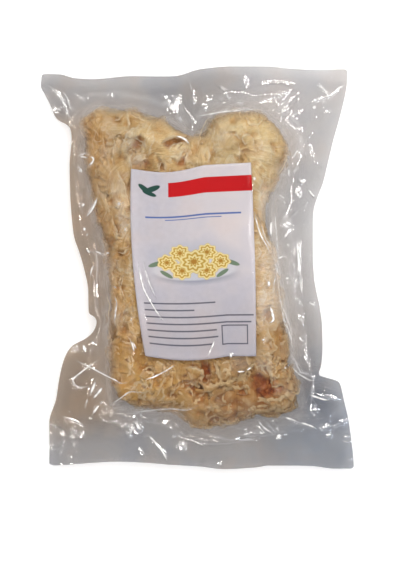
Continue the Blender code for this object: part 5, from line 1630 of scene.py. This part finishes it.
def label_material(name):
    """Coated paper with a generic print: a red band, a sprig, and a panel of plain rosettes."""
    mat, nodes, links = new_material(name)
    uv = node(nodes, "ShaderNodeUVMap", uv_map="UVMap").outputs[0]
    split = node(nodes, "ShaderNodeSeparateXYZ")
    links.new(uv, split.inputs[0])
    x, y = split.outputs[0], split.outputs[1]  # in millimetres of paper

    def m(operation, *values, clamp=False):
        return math_node(nodes, links, operation, *values, clamp=clamp)

    def inside(value, low, high, soft=0.35):
        a = m("MULTIPLY", m("SUBTRACT", value, low - soft / 2), 1 / soft, clamp=True)
        b = m("MULTIPLY", m("SUBTRACT", high + soft / 2, value), 1 / soft, clamp=True)
        return m("MULTIPLY", a, b)

    def disc(cx, cy, rx, ry, soft=0.5, angle=0.0, petals=0, wave=0.0, turn=0.0):
        dx, dy = m("SUBTRACT", x, cx), m("SUBTRACT", y, cy)
        if angle:
            c, sn = math.cos(angle), math.sin(angle)
            dx, dy = (
                m("ADD", m("MULTIPLY", dx, c), m("MULTIPLY", dy, sn)),
                m("ADD", m("MULTIPLY", dx, -sn), m("MULTIPLY", dy, c)),
            )
        dx, dy = m("DIVIDE", dx, rx), m("DIVIDE", dy, ry)
        r = m("SQRT", m("ADD", m("MULTIPLY", dx, dx), m("MULTIPLY", dy, dy)))
        if petals:
            a = m("ARCTAN2", dy, dx)
            ripple = m("MULTIPLY", m("COSINE", m("ADD", m("MULTIPLY", a, petals), turn)), wave)
            r = m("SUBTRACT", r, ripple)
        return m("MULTIPLY", m("SUBTRACT", 1.0, r), min(rx, ry) / soft, clamp=True), r

    color = None
    fibre = node(nodes, "ShaderNodeTexNoise", in_Scale=260.0, in_Detail=4.0)
    coords = node(nodes, "ShaderNodeTexCoord").outputs["Object"]
    links.new(coords, fibre.inputs["Vector"])
    color = ramp(nodes, links, fibre.outputs[0], [(0.3, (0.565, 0.537, 0.582)), (0.7, (0.60, 0.572, 0.62))])

    def lay(mask, tint):
        nonlocal color
        color = mix_color(nodes, links, mask, color, tint)

    W, H = 100.0, 160.0
    # painted light and shade on the paper: it is painted a little warmer and paler towards the upper right, where more
    # light falls, and darker towards the lower end as painted shade
    pale = m("MULTIPLY", m("MULTIPLY", m("SUBTRACT", x, 22.0), 1 / 72, clamp=True), m("MULTIPLY", m("SUBTRACT", y, 38.0), 1 / 55, clamp=True))
    lay(m("MULTIPLY", pale, 0.85), (0.735, 0.672, 0.675))
    painted_shade_low = m("MULTIPLY", m("SUBTRACT", 72.0, y), 1 / 72, clamp=True)
    lay(m("MULTIPLY", painted_shade_low, 0.62), (0.415, 0.388, 0.425))
    # red band, from the sprig to the right edge
    band = m("MULTIPLY", inside(x, 31.0, 101.0), inside(y, 0.856 * H, 0.937 * H))
    lay(band, (0.56, 0.001, 0.004))
    # sprig of three plain leaves
    for cx, cy, rx, ry, angle in (
        (17.5, 0.900 * H, 7.2, 2.9, 0.45), (12.0, 0.897 * H, 6.6, 2.7, 2.5), (15.5, 0.876 * H, 6.0, 2.3, -0.35),
    ):
        mask, r = disc(cx, cy, rx, ry, 0.4, angle, petals=2, wave=0.10)
        lay(mask, (0.018, 0.075, 0.055))
    # two plain rules under the band
    lay(m("MULTIPLY", inside(x, 12, 90), inside(y, 0.740 * H, 0.740 * H + 1.45)), (0.10, 0.16, 0.42))
    lay(m("MULTIPLY", inside(x, 28, 74), inside(y, 0.726 * H, 0.726 * H + 0.75)), (0.10, 0.16, 0.42))
    # a soft grey-blue panel with plain golden rosettes among small leaves
    shade, r = disc(50, 0.500 * H, 44, 21, 9.0)
    lay(m("MULTIPLY", shade, 0.50), (0.46, 0.48, 0.55))
    cast, r = disc(52, 0.428 * H, 39, 8.5, 3.5)
    lay(m("MULTIPLY", cast, 0.62), (0.27, 0.28, 0.35))
    saucer, r = disc(50, 0.458 * H, 37, 9.5, 1.2)
    lay(m("MULTIPLY", saucer, 0.90), (0.66, 0.65, 0.69))
    for cx, cy, rx, ry, angle in (
        (19, 0.492 * H, 6.6, 2.3, 0.30), (81, 0.488 * H, 6.6, 2.3, -0.34), (27, 0.437 * H, 5.8, 2.1, -0.55), (73, 0.435 * H, 5.8, 2.1, 0.55),
    ):
        mask, r = disc(cx, cy, rx, ry, 0.4, angle, petals=2, wave=0.10)
        lay(mask, (0.17, 0.24, 0.16))
    rows = [
        (28, 0.500 * H, 8.2, 7.0, 7, 0.4), (72, 0.498 * H, 8.2, 7.0, 7, 1.1), (39, 0.548 * H, 8.6, 7.2, 8, 0.2),
        (61, 0.546 * H, 8.6, 7.2, 8, 0.9), (40, 0.455 * H, 9.2, 7.6, 8, 0.6), (60, 0.452 * H, 9.2, 7.6, 8, 0.1),
        (50, 0.500 * H, 12.0, 9.8, 9, 0.0),
    ]
    for cx, cy, rx, ry, petals, turn in rows:
        mask, r = disc(cx, cy, rx, ry, 0.7, 0.0, petals, 0.09, turn)
        rings = m("MULTIPLY_ADD", m("SINE", m("MULTIPLY", r, 17.0)), 0.5, 0.5)
        petal = ramp(nodes, links, rings, [(0.0, (0.52, 0.31, 0.05)), (0.45, (0.74, 0.53, 0.15)), (1.0, (0.86, 0.74, 0.38))])
        lay(mask, petal)
        heart, _ = disc(cx, cy, rx * 0.24, ry * 0.24, 0.6)
        lay(heart, (0.46, 0.22, 0.03))
    # plain rules where small print would be, and an empty box
    for k, (length) in enumerate((60, 42, 92, 90, 60, 61, 55)):
        at = 0.283 * H - k * 5.65
        lay(m("MULTIPLY", m("MULTIPLY", inside(x, 6, 6 + length, 0.5), inside(y, at - 0.3, at + 0.95)), 0.85), (0.075, 0.075, 0.105))
    box = m("MULTIPLY", inside(x, 70, 93), inside(y, 0.062 * H, 0.165 * H))
    hole = m("MULTIPLY", inside(x, 71.1, 91.9), inside(y, 0.062 * H + 1.1, 0.165 * H - 1.1))
    lay(m("MULTIPLY", m("SUBTRACT", box, hole), 0.85), (0.075, 0.075, 0.105))

    bump = node(nodes, "ShaderNodeBump", in_Strength=0.25, in_Distance=0.0003)
    links.new(fibre.outputs[0], bump.inputs["Height"])
    shader = node(nodes, "ShaderNodeBsdfPrincipled", in_Roughness=0.6)
    shader.inputs["Specular IOR Level"].default_value = 0.05
    links.new(color, shader.inputs["Base Color"])
    links.new(bump.outputs[0], shader.inputs["Normal"])
    out = node(nodes, "ShaderNodeOutputMaterial")
    links.new(shader.outputs[0], out.inputs[0])
    return mat


def build_label(material):
    columns, rows = (44, 70)
    u, v = np.meshgrid(np.linspace(0, 1, columns + 1), np.linspace(0, 1, rows + 1))
    x, y = label_plan(u, v)
    z = look_up(blur(FRONT, 4), x, y) - 0.55
    z = np.minimum(z, look_up(FRONT, x, y) - 0.3)
    top = np.stack([x, y, z], -1).reshape(-1, 3)
    under = top - np.array([0, 0, 0.16])
    n = len(top)
    faces = [grid_faces(columns, rows), grid_faces(columns, rows, n)[:, ::-1]]
    ring = (
        list(range(0, columns + 1)) + [columns + k * (columns + 1) for k in range(1, rows + 1)]
        + [rows * (columns + 1) + columns - k for k in range(1, columns + 1)]
        + [(rows - k) * (columns + 1) for k in range(1, rows)]
    )
    faces.append(np.array([(b, a, a + n, b + n) for a, b in zip(ring, ring[1:] + ring[:1])]))
    uv = np.stack([u * 100, v * 160], -1).reshape(-1, 2)
    return mesh_object("paper_label", np.concatenate([top, under]), np.concatenate(faces), uv=np.concatenate([uv, uv]), material=material)


# ---- stage -----------------------------------------------------------------------
def build_stage():
    mesh = bpy.data.meshes.new("floor")
    mesh.from_pydata([(-3, -3, 0), (3, -3, 0), (3, 3, 0), (-3, 3, 0)], [], [(0, 1, 2, 3)])
    floor = bpy.data.objects.new("floor", mesh)
    bpy.context.scene.collection.objects.link(floor)
    mat, nodes, links = new_material("pale floor")
    coords = node(nodes, "ShaderNodeTexCoord").outputs["Object"]
    grain = node(nodes, "ShaderNodeTexNoise", in_Scale=3.0, in_Detail=2.0)
    links.new(coords, grain.inputs["Vector"])
    color = ramp(nodes, links, grain.outputs[0], [(0.3, (0.86, 0.86, 0.86)), (0.7, (0.88, 0.88, 0.88))])
    shader = node(nodes, "ShaderNodeBsdfPrincipled", in_Roughness=0.8)
    shader.inputs["Specular IOR Level"].default_value = 0.1
    shader.inputs["Emission Color"].default_value = (1, 1, 1, 1)
    shader.inputs["Emission Strength"].default_value = 0.32
    links.new(color, shader.inputs["Base Color"])
    out = node(nodes, "ShaderNodeOutputMaterial")
    links.new(shader.outputs[0], out.inputs[0])
    mesh.materials.append(mat)
    return floor


def area(name, at, target, size, watts, color=(1, 1, 1), diffuse=True, glossy=True, size_y=None):
    light = bpy.data.lights.new(name, "AREA")
    light.shape = "RECTANGLE" if size_y else "SQUARE"
    light.size = size
    if size_y:
        light.size_y = size_y
    light.energy = watts
    light.color = color
    obj = bpy.data.objects.new(name, light)
    obj.location = at
    obj.rotation_euler = (Vector(target) - Vector(at)).to_track_quat("-Z", "Y").to_euler()
    obj.visible_diffuse = diffuse
    obj.visible_glossy = glossy
    obj.visible_transmission = diffuse
    bpy.context.scene.collection.objects.link(obj)
    return obj


def build_light():
    scene = bpy.context.scene
    world = bpy.data.worlds.new("studio")
    scene.world = world
    world.use_nodes = True
    nodes, links = world.node_tree.nodes, world.node_tree.links
    nodes.clear()
    coords = node(nodes, "ShaderNodeTexCoord").outputs["Generated"]
    split = node(nodes, "ShaderNodeSeparateXYZ")
    links.new(coords, split.inputs[0])
    height = ramp(nodes, links, split.outputs[2], [
        (0.0, (0.95, 0.95, 0.97)), (0.50, (0.80, 0.80, 0.83)), (0.78, (0.42, 0.42, 0.43)), (0.95, (0.16, 0.16, 0.17)),
    ])
    background = node(nodes, "ShaderNodeBackground", in_Strength=0.66)
    links.new(height, background.inputs[0])
    out = node(nodes, "ShaderNodeOutputWorld")
    links.new(background.outputs[0], out.inputs[0])

    centre = (0.0, 0.0, 0.03)
    area("soft overhead", (0.0, 0.25, 1.5), centre, 1.8, 22.0, (1.0, 0.985, 0.965), glossy=False)
    area("soft key", (0.5, 0.75, 1.2), centre, 0.7, 6.5, (1.0, 0.98, 0.95), glossy=False)
    # a broad dim sheen on the film towards the right, then strips and small lights that only the gloss sees
    # (azimuth, zenith, across, down, radiance, colour)
    for k, (azimuth, zenith, wide, deep, glow, color) in enumerate((
        (52, 38, 0.66, 0.32, 1.5, (1.0, 0.985, 0.97)), (168, 42, 0.50, 0.28, 1.4, (1.0, 0.985, 0.97)),
        (270, 44, 0.60, 0.28, 1.2, (0.92, 0.96, 1.0)), (338, 40, 0.50, 0.30, 1.5, (1.0, 0.99, 0.98)),
        (86, 33, 0.30, 0.045, 70, (1.0, 0.985, 0.95)), (28, 31, 0.24, 0.045, 70, (1.0, 0.985, 0.96)),
        (205, 32, 0.22, 0.045, 60, (1.0, 0.97, 0.93)), (312, 33, 0.22, 0.06, 40, (0.80, 0.89, 1.0)),
        (118, 46, 0.34, 0.045, 80, (1.0, 0.97, 0.92)), (164, 45, 0.32, 0.045, 80, (1.0, 0.97, 0.92)),
        (356, 45, 0.32, 0.045, 80, (1.0, 0.99, 0.98)), (55, 47, 0.32, 0.045, 80, (1.0, 0.985, 0.96)),
        (250, 46, 0.32, 0.045, 80, (1.0, 0.97, 0.93)),
    )):
        a, z = math.radians(azimuth), math.radians(zenith)
        at = (1.2 * math.sin(z) * math.cos(a), 1.2 * math.sin(z) * math.sin(a), 1.2 * math.cos(z))
        area(f"glint {k}", at, centre, wide, glow * math.pi * wide * deep, color, diffuse=False, size_y=deep)


def build_camera():
    scene = bpy.context.scene
    camera = bpy.data.cameras.new("camera")
    obj = bpy.data.objects.new("camera", camera)
    scene.collection.objects.link(obj)
    distance = 2.6
    wide = 400 * PX_MM * MM
    camera.sensor_fit = "VERTICAL"
    camera.sensor_height = 36.0
    camera.lens = 36.0 * (distance - 0.015) / (565 * PX_MM * MM)
    cx, cy = photo(200, 282.5)
    obj.location = (cx * MM, cy * MM, distance)
    obj.rotation_euler = (0, 0, 0)
    scene.camera = obj
    scene.view_settings.view_transform = "Standard"
    scene.view_settings.look = "None"
    scene.view_settings.exposure = 0.0
    scene.cycles.use_denoising = True
    scene.cycles.max_bounces = 10
    scene.cycles.diffuse_bounces = 4
    scene.cycles.glossy_bounces = 3
    scene.cycles.transmission_bounces = 4
    scene.cycles.transparent_max_bounces = 40
    scene.cycles.sample_clamp_indirect = 6.0
    scene.cycles.caustics_reflective = False
    scene.cycles.caustics_refractive = False


# ---- all of it ---------------------------------------------------------------------
build_camera()
build_light()
build_stage()

front_material = film_material("clear film front", (0.945, 0.940, 0.935), 0.008)
back_material = film_material("clear film back", (0.462, 0.454, 0.455), 0.03)
spacing = 0.95
print("film spacing", spacing)
front = build_film("film_front", front_surface, spacing, front_material, False)
back = build_film("film_back", back_surface, 1.55, back_material, True)
for piece, name in ((front, "front_film"), (back, "back_film")):
    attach(piece, "root")
    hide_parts(name)

paper = build_label(label_material("label paper print"))
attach(paper, "root")
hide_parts("label")

fungus = fungus_material("dried snow fungus")
for name, (cell, heart, seed, mean, frill, layers) in HEADS.items():
    piece = build_head("fungus_" + name, cell, heart, seed, mean, frill, layers, fungus)
    print(name, "triangles", 2 * len(piece.data.polygons))
    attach(piece, "root")
    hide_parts(name)
